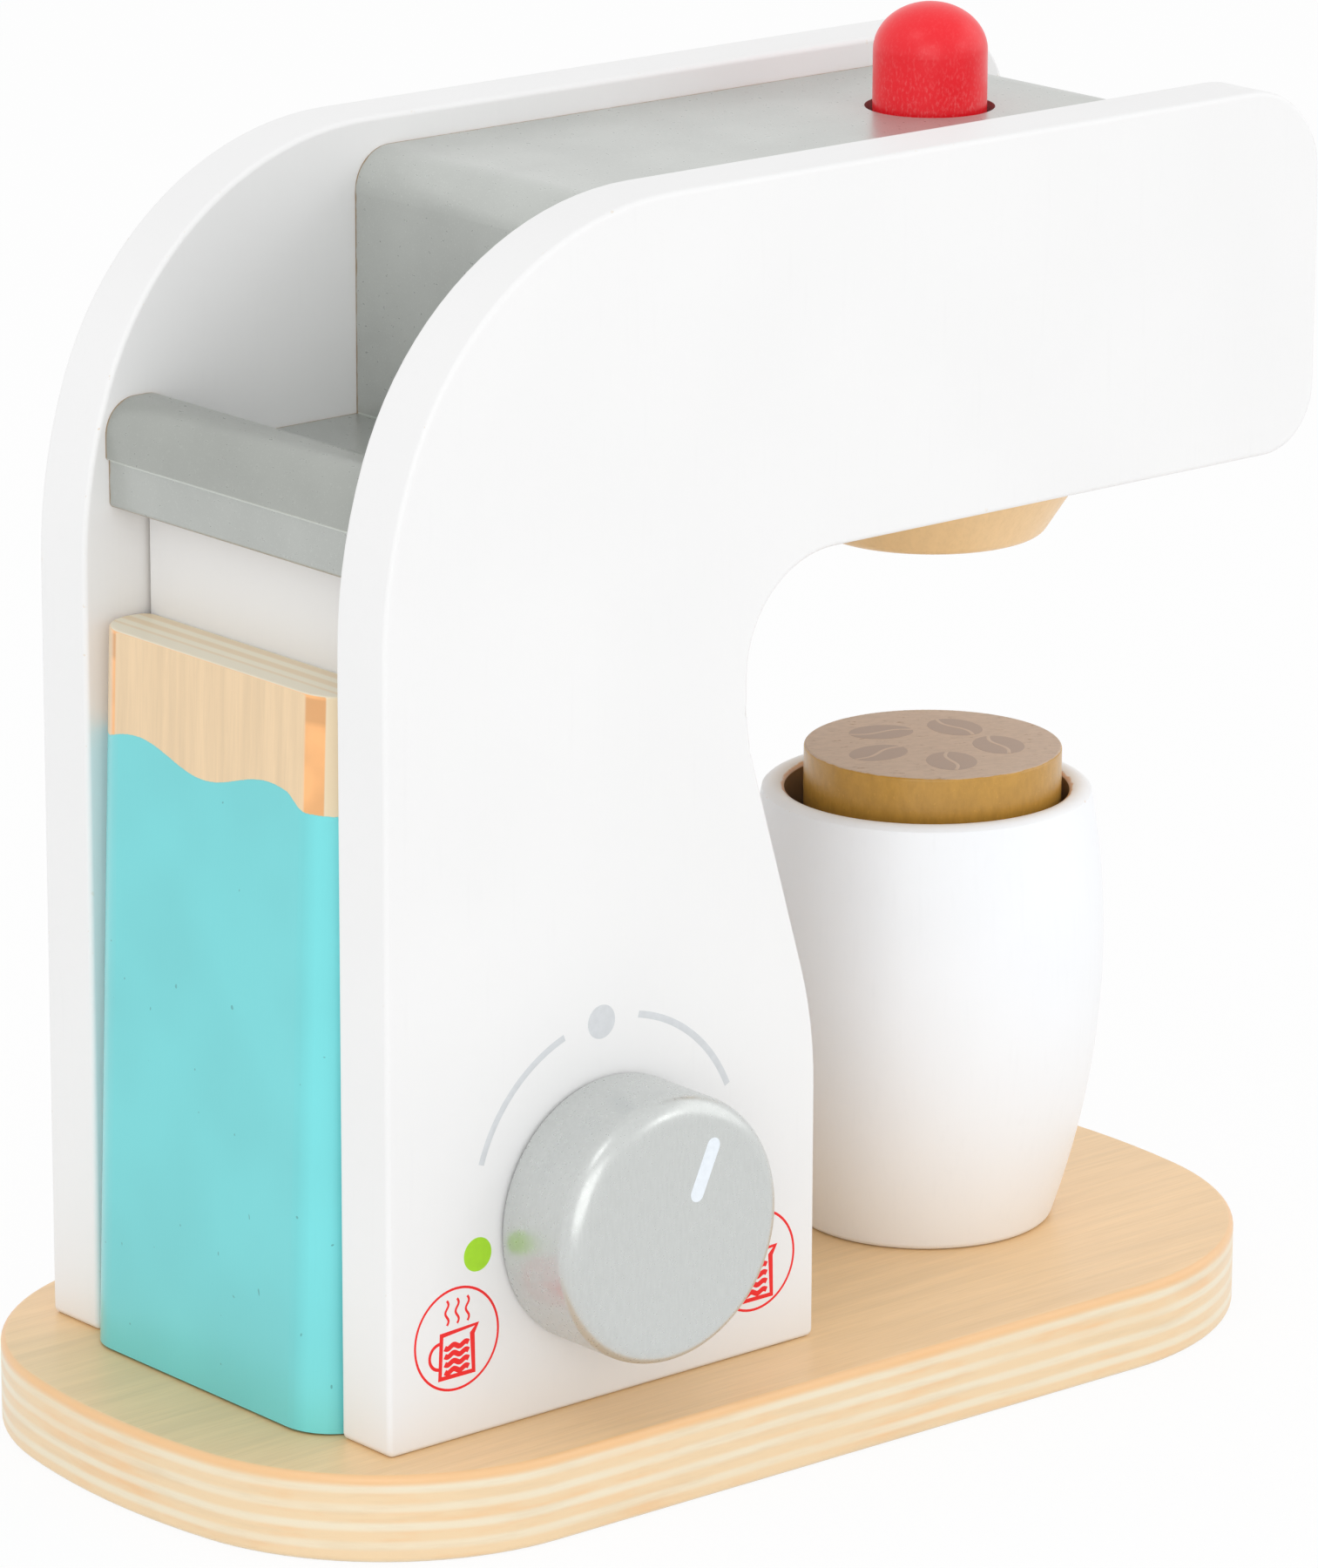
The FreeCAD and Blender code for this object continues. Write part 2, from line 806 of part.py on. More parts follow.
def make_coffee_pad():
    """The disc that lies in the cup's recess, a little off its centre."""
    corners = [
        (0, 0, 0),
        (pad_radius, 0, pad_easing),
        (pad_radius, cup_recess_depth + pad_proud, pad_easing),
        (0, cup_recess_depth + pad_proud, 0),
    ]
    floor = base_top + cup_height - cup_recess_depth
    centre = FreeCAD.Vector(cup_x + pad_offset_x, cup_y + pad_offset_y, floor)
    return turned(corners, centre)


NODES = {
    "base_board": make_base_board,
    "base_screws": make_base_screws,
    "knob_side_panel": make_knob_side_panel,
    "plain_side_panel": make_plain_side_panel,
    "column_rear_panel": make_column_rear_panel,
    "column_front_panel": make_column_front_panel,
    "deck_board": make_deck_board,
    "deck_lip": make_deck_lip,
    "hood_block": make_hood_block,
    "hood_dowels": make_hood_dowels,
    "button": make_button,
    "button_spring": make_button_spring,
    "brew_head": make_brew_head,
    "brew_head_screw": make_brew_head_screw,
    "knob": make_knob,
    "knob_bush": make_knob_bush,
    "knob_washer": make_knob_washer,
    "knob_screw": make_knob_screw,
    "water_tank": make_water_tank,
    "cup": make_cup,
    "coffee_pad": make_coffee_pad,
}

os.makedirs("parts", exist_ok=True)
for node, make in NODES.items():
    shape = make()
    shape.exportStep("parts/%s.step" % node)
    print("%s: %d solids, %.1f mm3, valid %s" %
          (node, len(shape.Solids), shape.Volume, shape.isValid()))
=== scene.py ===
import json
import math

import bpy
from bpy.props import FloatProperty, FloatVectorProperty, IntProperty, PointerProperty
from mathutils import Matrix, Vector


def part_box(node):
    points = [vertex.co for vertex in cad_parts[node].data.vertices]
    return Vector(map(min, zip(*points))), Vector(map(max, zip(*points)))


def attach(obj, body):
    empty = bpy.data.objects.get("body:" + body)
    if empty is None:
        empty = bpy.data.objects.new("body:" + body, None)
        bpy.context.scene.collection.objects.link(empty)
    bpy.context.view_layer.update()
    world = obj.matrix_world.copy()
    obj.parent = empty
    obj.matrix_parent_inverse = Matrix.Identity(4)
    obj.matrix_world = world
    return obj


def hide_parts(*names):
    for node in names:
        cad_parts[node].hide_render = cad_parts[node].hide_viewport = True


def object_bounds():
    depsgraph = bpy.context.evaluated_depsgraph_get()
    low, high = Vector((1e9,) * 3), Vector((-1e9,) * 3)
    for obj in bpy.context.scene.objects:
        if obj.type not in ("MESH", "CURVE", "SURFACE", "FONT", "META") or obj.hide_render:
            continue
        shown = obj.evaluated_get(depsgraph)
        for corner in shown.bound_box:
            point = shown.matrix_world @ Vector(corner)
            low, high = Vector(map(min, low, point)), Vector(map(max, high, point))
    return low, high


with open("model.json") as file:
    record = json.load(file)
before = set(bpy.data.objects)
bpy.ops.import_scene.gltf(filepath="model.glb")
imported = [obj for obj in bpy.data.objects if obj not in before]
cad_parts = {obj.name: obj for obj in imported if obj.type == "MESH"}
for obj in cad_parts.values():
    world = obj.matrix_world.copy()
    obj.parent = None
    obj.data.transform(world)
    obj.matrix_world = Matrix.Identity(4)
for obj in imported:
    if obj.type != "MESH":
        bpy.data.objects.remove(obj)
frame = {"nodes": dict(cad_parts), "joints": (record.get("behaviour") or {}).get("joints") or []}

bl_info = {
    "name": "Toy Coffee Maker",
    "version": (1, 0, 0),
    "blender": (4, 5, 0),
    "location": "View3D > Sidebar > Coffee Maker",
    "description": "Paints and prints the wooden toy coffee maker, and sets it on a pale stage",
    "category": "Object",
}

CAD_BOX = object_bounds()
MM = 0.001
UP = Vector((0, 0, 1))
TOWARDS_KNOB_SIDE = Vector((0, -1, 0))

# Noise lies between its swing nearly everywhere, and between its middle at most places
NOISE_SWING = (0.3, 0.7)
NOISE_MIDDLE = (0.35, 0.65)

# How the meshes of new pieces are made
ROUND_SIDES = 48
MERGE_UNDER = 0.001 * MM
LINE_SMOOTH_UNDER = math.radians(60)
KNOB_SMOOTH_UNDER = math.radians(30)


def from_srgb(red, green, blue):
    """A colour as it is seen on a screen, 0 to 255, turned into the values that light uses."""
    return tuple(((c / 255 + 0.055) / 1.055) ** 2.4 if c > 10 else c / 255 / 12.92
                 for c in (red, green, blue))


def colour(name, description, *screen):
    return FloatVectorProperty(name=name, description=description, subtype="COLOR",
                               default=from_srgb(*screen), min=0, max=1)


def length(name, description, millimetres):
    return FloatProperty(name=name, description=description, subtype="DISTANCE",
                         unit="LENGTH", default=millimetres * MM, precision=5)


def angle(name, description, degrees):
    return FloatProperty(name=name, description=description, subtype="ANGLE",
                         unit="ROTATION", default=math.radians(degrees))


class CoffeeMakerColours(bpy.types.PropertyGroup):
    """The paints, woods and inks."""
    white: colour("White paint", "Side panels and column boards", 240, 240, 240)
    cup_white: colour("Cup white", "Paint on the turned cup", 247, 249, 252)
    # Painted light and shade: hood, deck and lip share one grey lacquer, lighter on the hood and
    # darker on the lip for how light falls.
    hood_grey_painted_light: colour("Hood grey", "Metallic grey lacquer on the hood", 190, 193, 189)
    deck_grey_painted_light: colour("Deck grey", "The same lacquer on the deck", 178, 181, 177)
    lip_grey_painted_shade: colour("Lip grey", "The same lacquer on the lip", 165, 168, 163)
    bare_end: colour("Bare end", "Wood at the ends of the deck and the column's boards",
                     158, 138, 110)
    silver: colour("Silver paint", "The control knob", 203, 206, 204)
    red: colour("Red paint", "The button", 250, 18, 36)
    red_pore: colour("Red pores", "Pale pores in the button's end grain", 250, 110, 112)
    turquoise: colour("Turquoise paint", "The water in the tank", 110, 209, 212)
    veneer: colour("Base veneer", "Top of the base", 241, 203, 152)
    tank_veneer: colour("Tank veneer", "Back of the tank", 233, 204, 164)
    ply_pale: colour("Pale ply", "Long-grain plies on a sawn edge", 238, 226, 200)
    ply_tan: colour("Tan ply", "End-grain plies on a sawn edge", 238, 211, 171)
    ply_flame: colour("Warm ply", "Warm streaks and the base's arris", 240, 188, 130)
    tank_pale: colour("Tank pale ply", "Pale plies on the tank's edge", 238, 230, 207)
    tank_tan: colour("Tank tan ply", "Tan plies on the tank's edge", 231, 211, 176)
    ply_orange: colour("Orange ply", "The ply next to the tank's face veneer", 233, 172, 112)
    turned: colour("Turned wood", "The brew head", 244, 205, 150)
    dowel: colour("Dowel wood", "Dowels inside the hood", 214, 180, 134)
    ochre: colour("Pad ochre", "Side of the coffee pad", 196, 148, 66)
    kraft: colour("Pad top", "Printed top of the coffee pad", 202, 181, 163)
    pad_speck: colour("Pad specks", "Dark specks in the pad's top", 150, 112, 78)
    bean: colour("Bean print", "Beans on the pad", 181, 161, 148)
    dial_grey: colour("Dial grey", "Arcs and top dot of the dial", 212, 215, 218)
    dial_green: colour("Dial green", "Side dots of the dial", 166, 221, 38)
    icon_red: colour("Icon red", "The jug icons", 241, 20, 20)
    pointer: colour("Pointer white", "The bar on the knob", 232, 239, 246)
    steel: colour("Zinc-plated steel", "Screws and washer", 176, 178, 182)
    spring_steel: colour("Spring steel", "The button's spring", 150, 150, 154)
    nylon: colour("Nylon", "The knob's bush", 232, 230, 220)
    # Painted shade: this dark brown stands for the shade deep in the cup's recess, over bare wood.
    recess: colour("Recess", "Bare wood deep in the cup's recess", 150, 128, 105)
    # A thin pale line along the deck's top, drawn on faces that look rearwards.
    pale_seam: colour("Glue line", "Thin pale line along the deck's joints", 212, 217, 211)


class CoffeeMakerWood(bpy.types.PropertyGroup):
    """Sizes of the plies, of the wavy water line and of the turned knob."""
    base_ply: length("Base ply pair", "One pale and one tan ply of the base", 2.57)
    base_ply_start: length("First pale ply", "Height of the lowest pale ply's middle", 2.4)
    veneer_edge: length("Veneer edge", "How much of the tank's edge its face veneer shows", 0.05)
    orange_depth: length("Orange ply", "Depth at which the tank's orange ply ends", 1.1)
    tank_ply: length("Tank ply pair", "One pale and one tan ply of the tank", 3.0)
    tank_ply_start: length("First pale ply", "Depth of the tank's first pale ply's middle", 4.2)
    wave_height: length("Water line", "Middle height of the wavy line up the tank", 84.35)
    wave_rise: length("Wave rise", "How far a wave stands above the middle", 1.38)
    wave_length: length("Wave length", "From crest to crest", 28.0)
    wave_crest: length("Crest", "Where a crest lies across the tank", 15.0)
    wave_end: length("Wave end", "Across the tank, where the far end runs level", 21.5)
    side_start: length("Side start", "Across the tank, where the near end levels out", -16.5)
    side_full: length("Side full", "Across the tank, where the near end is level", -20.8)
    side_height: length("Side line", "Height of the line round the near edge", 83.25)
    tank_lean: angle("Tank lean", "How far the tank leans on the column", 2.0)
    knob_front: length("Knob front", "Rounding of the knob's front arris", 3.2)
    knob_rear: length("Knob rear", "Rounding of the knob's rear arris", 0.6)
    bore_radius: length("Bore", "Radius of the knob's blind bore", 2.5)
    bore_depth: length("Bore depth", "How far the bore goes into the knob", 9.0)


class CoffeeMakerPrints(bpy.types.PropertyGroup):
    """Sizes of the printed marks."""
    ink: length("Ink", "How far a print stands proud", 0.03)
    dial_back: length("Dial back", "From the base's middle back to the dial's centre", 34.96)
    dial_height: length("Dial height", "Height of the dial's centre above the base", 29.85)
    dial_radius: length("Dial radius", "Middle of the arcs", 22.42)
    dial_line: length("Dial line", "Width of the arcs", 0.95)
    dial_turn: angle("Dial turn", "How far the printed dial is turned", 3.0)
    arc_start: angle("Arc start", "From the dial's top to an arc's upper end", 16.3)
    arc_end: angle("Arc end", "From the dial's top to an arc's lower end", 69.3)
    dot_radius: length("Dot", "Radius of the three dots", 2.3)
    top_reach: length("Top dot reach", "From the dial's centre to the top dot", 22.1)
    side_reach: length("Side dot reach", "From the dial's centre to the green dots", 22.6)
    side_dot: angle("Side dots", "From the dial's top to the green dots", 100.2)
    icon_back: length("Icons back", "From the base's middle back to the icons' middle", 34.95)
    icon_spacing: length("Icon spacing", "From the icons' middle to each icon", 25.55)
    icon_height: length("Icon height", "Mean height of the icons above the base", 13.5)
    icon_slope: length("Icon slope", "How far the rear icon stands over the mean height", 0.48)
    ring_radius: length("Ring", "Radius of the icon's ring", 6.9)
    ring_line: length("Ring line", "Width of the ring", 0.36)
    jug_line: length("Jug line", "Width of the jug's outline", 0.85)
    drink_line: length("Drink line", "Width of the waves in the jug", 0.75)
    steam_line: length("Steam line", "Width of the steam curls", 0.36)
    pointer_start: length("Pointer start", "From the knob's axis to the bar", 5.64)
    pointer_end: length("Pointer end", "From the knob's axis to the bar's outer end", 12.24)
    pointer_aside: length("Pointer aside", "How far the bar lies off the knob's axis", 0.73)
    pointer_width: length("Pointer width", "Width of the bar", 2.2)
    pointer_turn: angle("Pointer turn", "Direction of the bar", 65.5)
    bean_length: length("Bean length", "Length of one printed bean", 9.2)
    bean_width: length("Bean width", "Width of one printed bean", 7.0)
    bean_ring: length("Bean ring", "From the pad's middle to the beans", 9.1)
    bean_count: IntProperty(name="Beans", description="Beans on the pad", default=5, min=1)


class CoffeeMakerStage(bpy.types.PropertyGroup):
    """The camera, the lamps and the floor."""
    camera_place: FloatVectorProperty(name="Camera place", description="Where the camera stands",
                                      subtype="TRANSLATION", unit="LENGTH", precision=5,
                                      default=(-0.66123, -0.77855, 0.37470))
    lens: FloatProperty(name="Lens", description="Focal length in millimetres",
                        default=180.19, min=1)
    yaw: angle("Yaw", "Camera's turn from +Y towards +X", 40.545)
    pitch: angle("Pitch", "How far the camera looks down", 16.025)
    roll: angle("Roll", "Camera's turn about its view", 0.198)
    ambient: FloatProperty(name="Ambient", description="Light from all round", default=0.87)
    camera_power: FloatProperty(name="Camera lamp", description="Soft lamp beside the camera",
                                subtype="POWER", unit="POWER", default=2.15)
    right_power: FloatProperty(name="Right lamp", description="Soft lamp far to the right",
                               subtype="POWER", unit="POWER", default=1.2)
    glint_power: FloatProperty(name="Small lamps", description="The two lamps whose glints show "
                               "on the button", subtype="POWER", unit="POWER", default=0.45)
    floor_light: FloatProperty(name="Floor white", description="Share of plain white that "
                               "the camera sees in the floor", default=0.9, min=0, max=1)


GROUPS = {
    "maker_colours": CoffeeMakerColours,
    "maker_wood": CoffeeMakerWood,
    "maker_prints": CoffeeMakerPrints,
    "maker_stage": CoffeeMakerStage,
}


def colours():
    return bpy.context.scene.maker_colours


def wood():
    return bpy.context.scene.maker_wood


def prints():
    return bpy.context.scene.maker_prints


def tinted(base, factor):
    """A colour made lighter or darker."""
    return tuple(min(1.0, c * factor) for c in base)


def frame_height(node):
    """The height of a node's top."""
    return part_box(node)[1].z


def axis_of(node):
    """The middle of a turned node, seen from above."""
    low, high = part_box(node)
    return (low + high) / 2


class Finish:
    """One procedural material, whose nodes are added in the order in which they are read."""

    def __init__(self, name):
        self.material = bpy.data.materials.new(name)
        self.material.use_nodes = True
        self.tree = self.material.node_tree
        self.shader = self.tree.nodes["Principled BSDF"]
        self.place = self.node("ShaderNodeTexCoord").outputs["Object"]

    def node(self, kind, inputs=None, **settings):
        made = self.tree.nodes.new(kind)
        for key, value in settings.items():
            setattr(made, key, value)
        for key, value in (inputs or {}).items():
            self.feed(made.inputs[key], value)
        return made

    def feed(self, socket, value):
        """Links a socket to another node, or sets it to a plain value."""
        if isinstance(value, bpy.types.NodeSocket):
            self.tree.links.new(value, socket)
        elif socket.type == "RGBA" and len(value) == 3:
            socket.default_value = (*value, 1)
        else:
            socket.default_value = value

    def calc(self, operation, first, second=0.0, third=0.0, clamp=False):
        made = self.node("ShaderNodeMath", {0: first, 1: second, 2: third},
                         operation=operation, use_clamp=clamp)
        return made.outputs[0]

    def axes(self, place=None):
        """The X, Y and Z of a place."""
        split = self.node("ShaderNodeSeparateXYZ", {0: place or self.place})
        return split.outputs[0], split.outputs[1], split.outputs[2]

    def normals(self):
        """The X, Y and Z of the way that the surface faces."""
        return self.axes(self.node("ShaderNodeNewGeometry").outputs["Normal"])

    def stretched(self, place, stretch):
        """A place whose small factors draw a pattern out along their axes."""
        return self.node("ShaderNodeVectorMath", {0: place, 1: stretch},
                         operation="MULTIPLY").outputs[0]

    def moved(self, centre=(0, 0, 0), turn=(0, 0, 0), stretch=(1, 1, 1)):
        """Object coordinates about a centre, turned and then stretched."""
        about = self.node("ShaderNodeVectorMath", {0: self.place, 1: centre},
                          operation="SUBTRACT").outputs[0]
        turned = self.node("ShaderNodeMapping", {"Vector": about, "Rotation": turn})
        return self.stretched(turned.outputs[0], stretch)

    def noise(self, grain, place=None, detail=2.0, roughness=0.5, distortion=0.0):
        """Noise whose lumps are about grain metres across."""
        made = self.node("ShaderNodeTexNoise", {
            "Vector": place or self.place, "Scale": 1 / grain, "Detail": detail,
            "Roughness": roughness, "Distortion": distortion})
        return made.outputs["Fac"]

    def spread(self, value, low, high, to_low=0.0, to_high=1.0, smooth=False):
        """A value taken from one range to another."""
        made = self.node("ShaderNodeMapRange", {
            "Value": value, "From Min": low, "From Max": high,
            "To Min": to_low, "To Max": to_high},
            interpolation_type="SMOOTHSTEP" if smooth else "LINEAR")
        return made.outputs[0]

    def blend(self, share, first, second):
        """The first colour, or the second one where the share is one."""
        made = self.node("ShaderNodeMix", {0: share, 6: first, 7: second}, data_type="RGBA")
        return made.outputs[2]

    def clouded(self, lumps, low_tone, high_tone):
        """Two tones that drift into each other as the noise rises."""
        return self.blend(self.spread(lumps, *NOISE_MIDDLE), low_tone, high_tone)

    def flecked(self, base, lumps, tone, start, full, strength):
        """A tone over the peaks of a noise, from start to full, at up to a strength."""
        return self.blend(self.spread(lumps, start, full, 0, strength), base, tone)

    def sheen(self, lumps, low, high):
        """A roughness that follows a noise."""
        return self.spread(lumps, *NOISE_SWING, low, high)

    def wander(self, grain, reach, detail=2.0):
        """A length that wanders either way by up to reach."""
        return self.spread(self.noise(grain, detail=detail), *NOISE_SWING, -reach, reach)

    def above(self, value, level, soft):
        """One above a level and nought below it, with a soft step either way."""
        return self.spread(value, level - soft, level + soft)

    def below(self, value, level, soft):
        """One below a level and nought above it, with a soft step either way."""
        return self.spread(value, level + soft, level - soft)

    def striped(self, depth, first, pair, low, high):
        """Bands in pairs along a depth: one at the first band's middle, nought between bands."""
        phase = self.calc("MULTIPLY", self.calc("SUBTRACT", depth, first), math.tau / pair)
        return self.spread(self.calc("COSINE", phase), low, high, smooth=True)

    def from_axis(self, centre):
        """The level distance from an upright axis."""
        return self.node("ShaderNodeVectorMath", {0: self.moved(centre, stretch=(1, 1, 0))},
                         operation="LENGTH").outputs["Value"]

    def bump(self, height, depth, under=None):
        """A relief that stands depth metres from its lowest to its highest point."""
        inputs = {"Height": height, "Strength": 1.0, "Distance": depth}
        if under is not None:
            inputs["Normal"] = under
        return self.node("ShaderNodeBump", inputs).outputs[0]

    def done(self, base, roughness, normal=None, **sockets):
        self.feed(self.shader.inputs["Base Color"], base)
        self.feed(self.shader.inputs["Roughness"], roughness)
        if normal is not None:
            self.feed(self.shader.inputs["Normal"], normal)
        for name, value in sockets.items():
            self.feed(self.shader.inputs[name.replace("_", " ")], value)
        return self.material


def rim_wear(finish, base, wood_colour, reach, amount):
    """Shows wood in a few specks along the arrises, where paint chips first."""
    soft = finish.node("ShaderNodeBevel", {"Radius": reach}, samples=4).outputs[0]
    plain = finish.node("ShaderNodeNewGeometry").outputs["Normal"]
    along = finish.node("ShaderNodeVectorMath", {0: soft, 1: plain},
                        operation="DOT_PRODUCT").outputs["Value"]
    flat, bent = 0.995, 0.93
    on_edge = finish.spread(along, flat, bent)
    first_speck, speck_edge = 1 - amount, 0.03
    specks = finish.spread(finish.noise(1.3 * MM, detail=3.0), first_speck,
                           first_speck + speck_edge)
    share = finish.calc("MULTIPLY", on_edge, specks, clamp=True)
    return finish.blend(share, base, wood_colour)


def column_joint(finish, base):
    """Draws the brown line where the column boards end against the side panels."""
    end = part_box("column_rear_panel")[1].y
    start, full, strength = 0.35 * MM, 0.2 * MM, 0.7
    out = finish.calc("ABSOLUTE", finish.axes()[1])
    on_board = finish.spread(out, end - start, end - full, 0, strength)
    off_panel = finish.spread(out, end + full, end + full / 2)
    return finish.blend(finish.calc("MULTIPLY", on_board, off_panel), base, colours().bare_end)


def white_board_paint():
    """Satin white on plywood: faint upright grain under it, worn specks and a brown joint."""
    finish = Finish("white board paint")
    white = colours().white
    grain = finish.noise(0.8 * MM, finish.moved(stretch=(1, 1, 0.06)), detail=3.0)
    base = finish.clouded(finish.noise(30 * MM, detail=1.0), tinted(white, 0.985), white)
    base = finish.flecked(base, grain, tinted(white, 0.955), start=0.62, full=0.8,
                          strength=0.35)
    base = rim_wear(finish, base, tinted(colours().ply_tan, 0.8), reach=0.9 * MM, amount=0.3)
    base = column_joint(finish, base)
    skin = finish.noise(0.5 * MM, detail=1.0)
    normal = finish.bump(skin, 0.006 * MM, under=finish.bump(grain, 0.012 * MM))
    return finish.done(base, finish.sheen(skin, low=0.40, high=0.47), normal)


def deck_lines(finish, base):
    """A pale line along the deck's top on rearward faces, and bare wood along its foot and at the
    ends.
    """
    low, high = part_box("deck_board")
    _, across, height = finish.axes()
    off_top = finish.calc("ABSOLUTE", finish.calc("SUBTRACT", height, high.z))
    # A pale line at the deck's top level, only on faces that look rearwards.
    seam = finish.below(off_top, 0.2 * MM, soft=0.06 * MM)
    rearward = finish.spread(finish.normals()[0], -0.1, -0.4)
    base = finish.blend(finish.calc("MULTIPLY", seam, rearward), base, colours().pale_seam)
    foot_start, foot_full, foot_strength = 0.35 * MM, 0.2 * MM, 0.8
    foot = finish.spread(height, low.z + foot_start, low.z + foot_full, 0, foot_strength)
    base = finish.blend(foot, base, colours().bare_end)
    end_start, end_full = 0.3 * MM, 0.15 * MM
    out = finish.calc("ADD", finish.calc("ABSOLUTE", across),
                      finish.wander(1.6 * MM, reach=0.1 * MM))
    ends = finish.spread(out, high.y - end_start, high.y - end_full)
    return finish.blend(ends, base, colours().bare_end)


def grey_board_paint(node, tone):
    """Grey lacquer with metal flake over faint grain, in a tone per board that holds painted light
    and shade.
    """
    finish = Finish(node.replace("_", " ") + " paint")
    pores = finish.noise(0.45 * MM, finish.moved(stretch=(1, 0.3, 0.6)), detail=3.0,
                         roughness=0.6)
    flake = finish.noise(0.3 * MM, detail=1.0)
    base = finish.clouded(finish.noise(14 * MM), tinted(tone, 0.96), tinted(tone, 1.04))
    base = finish.flecked(base, pores, tinted(tone, 1.1), start=0.55, full=0.72, strength=0.3)
    base = finish.flecked(base, flake, tinted(tone, 1.3), start=0.6, full=0.74, strength=0.35)
    base = deck_lines(finish, base)
    return finish.done(base, finish.sheen(pores, low=0.27, high=0.34),
                       finish.bump(pores, 0.009 * MM), Metallic=0.45)


def silver_knob_paint():
    """Silver lacquer over fine upright grain, with a faint orange-peel skin."""
    finish = Finish("silver knob paint")
    silver = colours().silver
    peel = finish.noise(0.6 * MM, detail=1.0)
    grain = finish.noise(0.4 * MM, finish.moved(stretch=(1, 1, 0.2)))
    base = finish.clouded(grain, tinted(silver, 0.975), tinted(silver, 1.02))
    return finish.done(base, finish.sheen(peel, low=0.27, high=0.32),
                       finish.bump(peel, 0.008 * MM), Metallic=0.6)


def red_button_paint():
    """Red lacquer over a turned dowel, with pale pores in the end grain."""
    finish = Finish("red button paint")
    red = colours().red
    pores = finish.noise(0.35 * MM, finish.moved(stretch=(1, 1, 0.5)), detail=3.0,
                         roughness=0.65)
    cloud = finish.noise(5 * MM)
    base = finish.clouded(cloud, tinted(red, 0.95), red)
    dome = 4 * MM
    low = finish.spread(finish.axes()[2], frame_height("button") - dome,
                        frame_height("hood_block"))
    base = finish.blend(low, tinted(red, 0.92), base)
    speckle = finish.calc("MULTIPLY", finish.spread(pores, 0.5, 0.72, 0, 0.7),
                          finish.spread(low, 0, 1, 0.2, 1.0))
    base = finish.blend(speckle, base, colours().red_pore)
    return finish.done(base, finish.sheen(cloud, low=0.28, high=0.34),
                       finish.bump(pores, 0.012 * MM))


def straight_grain(finish, place, pale, dark, width):
    """Colour and relief of straight-grained wood, whose grain runs as the place is drawn out."""
    fibre_width = width * 0.16
    streaks = finish.noise(width, place, detail=4.0, roughness=0.55, distortion=0.4)
    fibres = finish.noise(fibre_width, place, detail=3.0, roughness=0.6)
    tone = finish.blend(finish.spread(streaks, 0.38, 0.66), pale, dark)
    tone = finish.flecked(tone, fibres, tinted(dark, 0.93), start=0.45, full=0.72,
                          strength=0.4)
    return tone, fibres


def base_edge(finish, height):
    """The base's edge: pale and tan plies that fade in and out, with warm streaks."""
    ply_wander = 0.5 * MM
    level = finish.calc("MULTIPLY_ADD", finish.noise(24 * MM, detail=1.0), ply_wander, height)
    stripe = finish.striped(level, wood().base_ply_start + ply_wander / 2, wood().base_ply,
                            low=-0.5, high=1.0)
    fade = finish.noise(9 * MM, finish.moved(stretch=(0.25, 0.25, 2.0)))
    stripe = finish.calc("MULTIPLY", stripe, finish.spread(fade, 0.35, 0.6, 0.5, 1.0))
    streaks = finish.noise(1.4 * MM, finish.moved(stretch=(0.1, 0.1, 1)), detail=4.0,
                           roughness=0.6)
    flame = finish.noise(5 * MM, finish.moved(stretch=(0.3, 0.3, 1.4)), detail=3.0,
                         roughness=0.6)
    tan = finish.flecked(colours().ply_tan, flame, colours().ply_flame, start=0.5, full=0.72,
                         strength=0.55)
    edge = finish.blend(stripe, tan, colours().ply_pale)
    return finish.flecked(edge, streaks, tinted(colours().ply_tan, 0.86), start=0.5, full=0.75,
                          strength=0.5)


def base_plywood():
    """Clear lacquered plywood: grain along the top, plies on the edge and a warm arris."""
    finish = Finish("base plywood")
    top, fibres = straight_grain(finish, finish.moved(stretch=(0.045, 1, 1)),
                                 pale=tinted(colours().veneer, 1.02),
                                 dark=tinted(colours().veneer, 0.92), width=2.4 * MM)
    height = finish.axes()[2]
    top_level = frame_height("base_board")
    arris_start, arris_full, arris_strength = 1.7 * MM, 0.6 * MM, 0.75
    arris = finish.spread(height, top_level - arris_start, top_level - arris_full, 0,
                          arris_strength, smooth=True)
    edge = finish.blend(arris, base_edge(finish, height), colours().ply_flame)
    level_share = finish.calc("ABSOLUTE", finish.normals()[2])
    base = finish.blend(finish.spread(level_share, 0.93, 0.985), edge, top)
    return finish.done(base, finish.sheen(fibres, low=0.36, high=0.46),
                       finish.bump(fibres, 0.02 * MM), Coat_Weight=0.3, Coat_Roughness=0.25)


def water_line(finish, across):
    """The height of the wavy line across the tank, which levels out at both edges."""
    sizes = wood()
    swell = finish.calc("SUBTRACT", finish.calc("MINIMUM", across, sizes.wave_end),
                        sizes.wave_crest)
    swell = finish.calc("COSINE", finish.calc("MULTIPLY", swell, math.tau / sizes.wave_length))
    waves = finish.calc("MULTIPLY_ADD", swell, sizes.wave_rise, sizes.wave_height)
    near = finish.spread(across, sizes.side_start, sizes.side_full, smooth=True)
    waves = finish.calc("MULTIPLY", waves, finish.calc("SUBTRACT", 1.0, near))
    return finish.calc("ADD", waves, finish.calc("MULTIPLY", near, sizes.side_height))


def tank_orange(finish, height):
    """The tank's orange ply, in patches, with its deepest tone just under the tank's top."""
    tone = colours().ply_orange
    orange = finish.flecked(tone, finish.noise(9 * MM), tinted(tone, 1.2), start=0.42, full=0.6,
                            strength=1.0)
    top = frame_height("water_tank") - frame_height("base_board")
    patch_foot, patch_top = 3.8 * MM, 0.45 * MM
    over_foot = finish.above(height, top - patch_foot, soft=0.4 * MM)
    under_top = finish.below(height, top - patch_top, soft=0.15 * MM)
    patch = finish.calc("MULTIPLY", over_foot, under_top)
    return finish.blend(patch, orange, tinted(tone, 0.9))


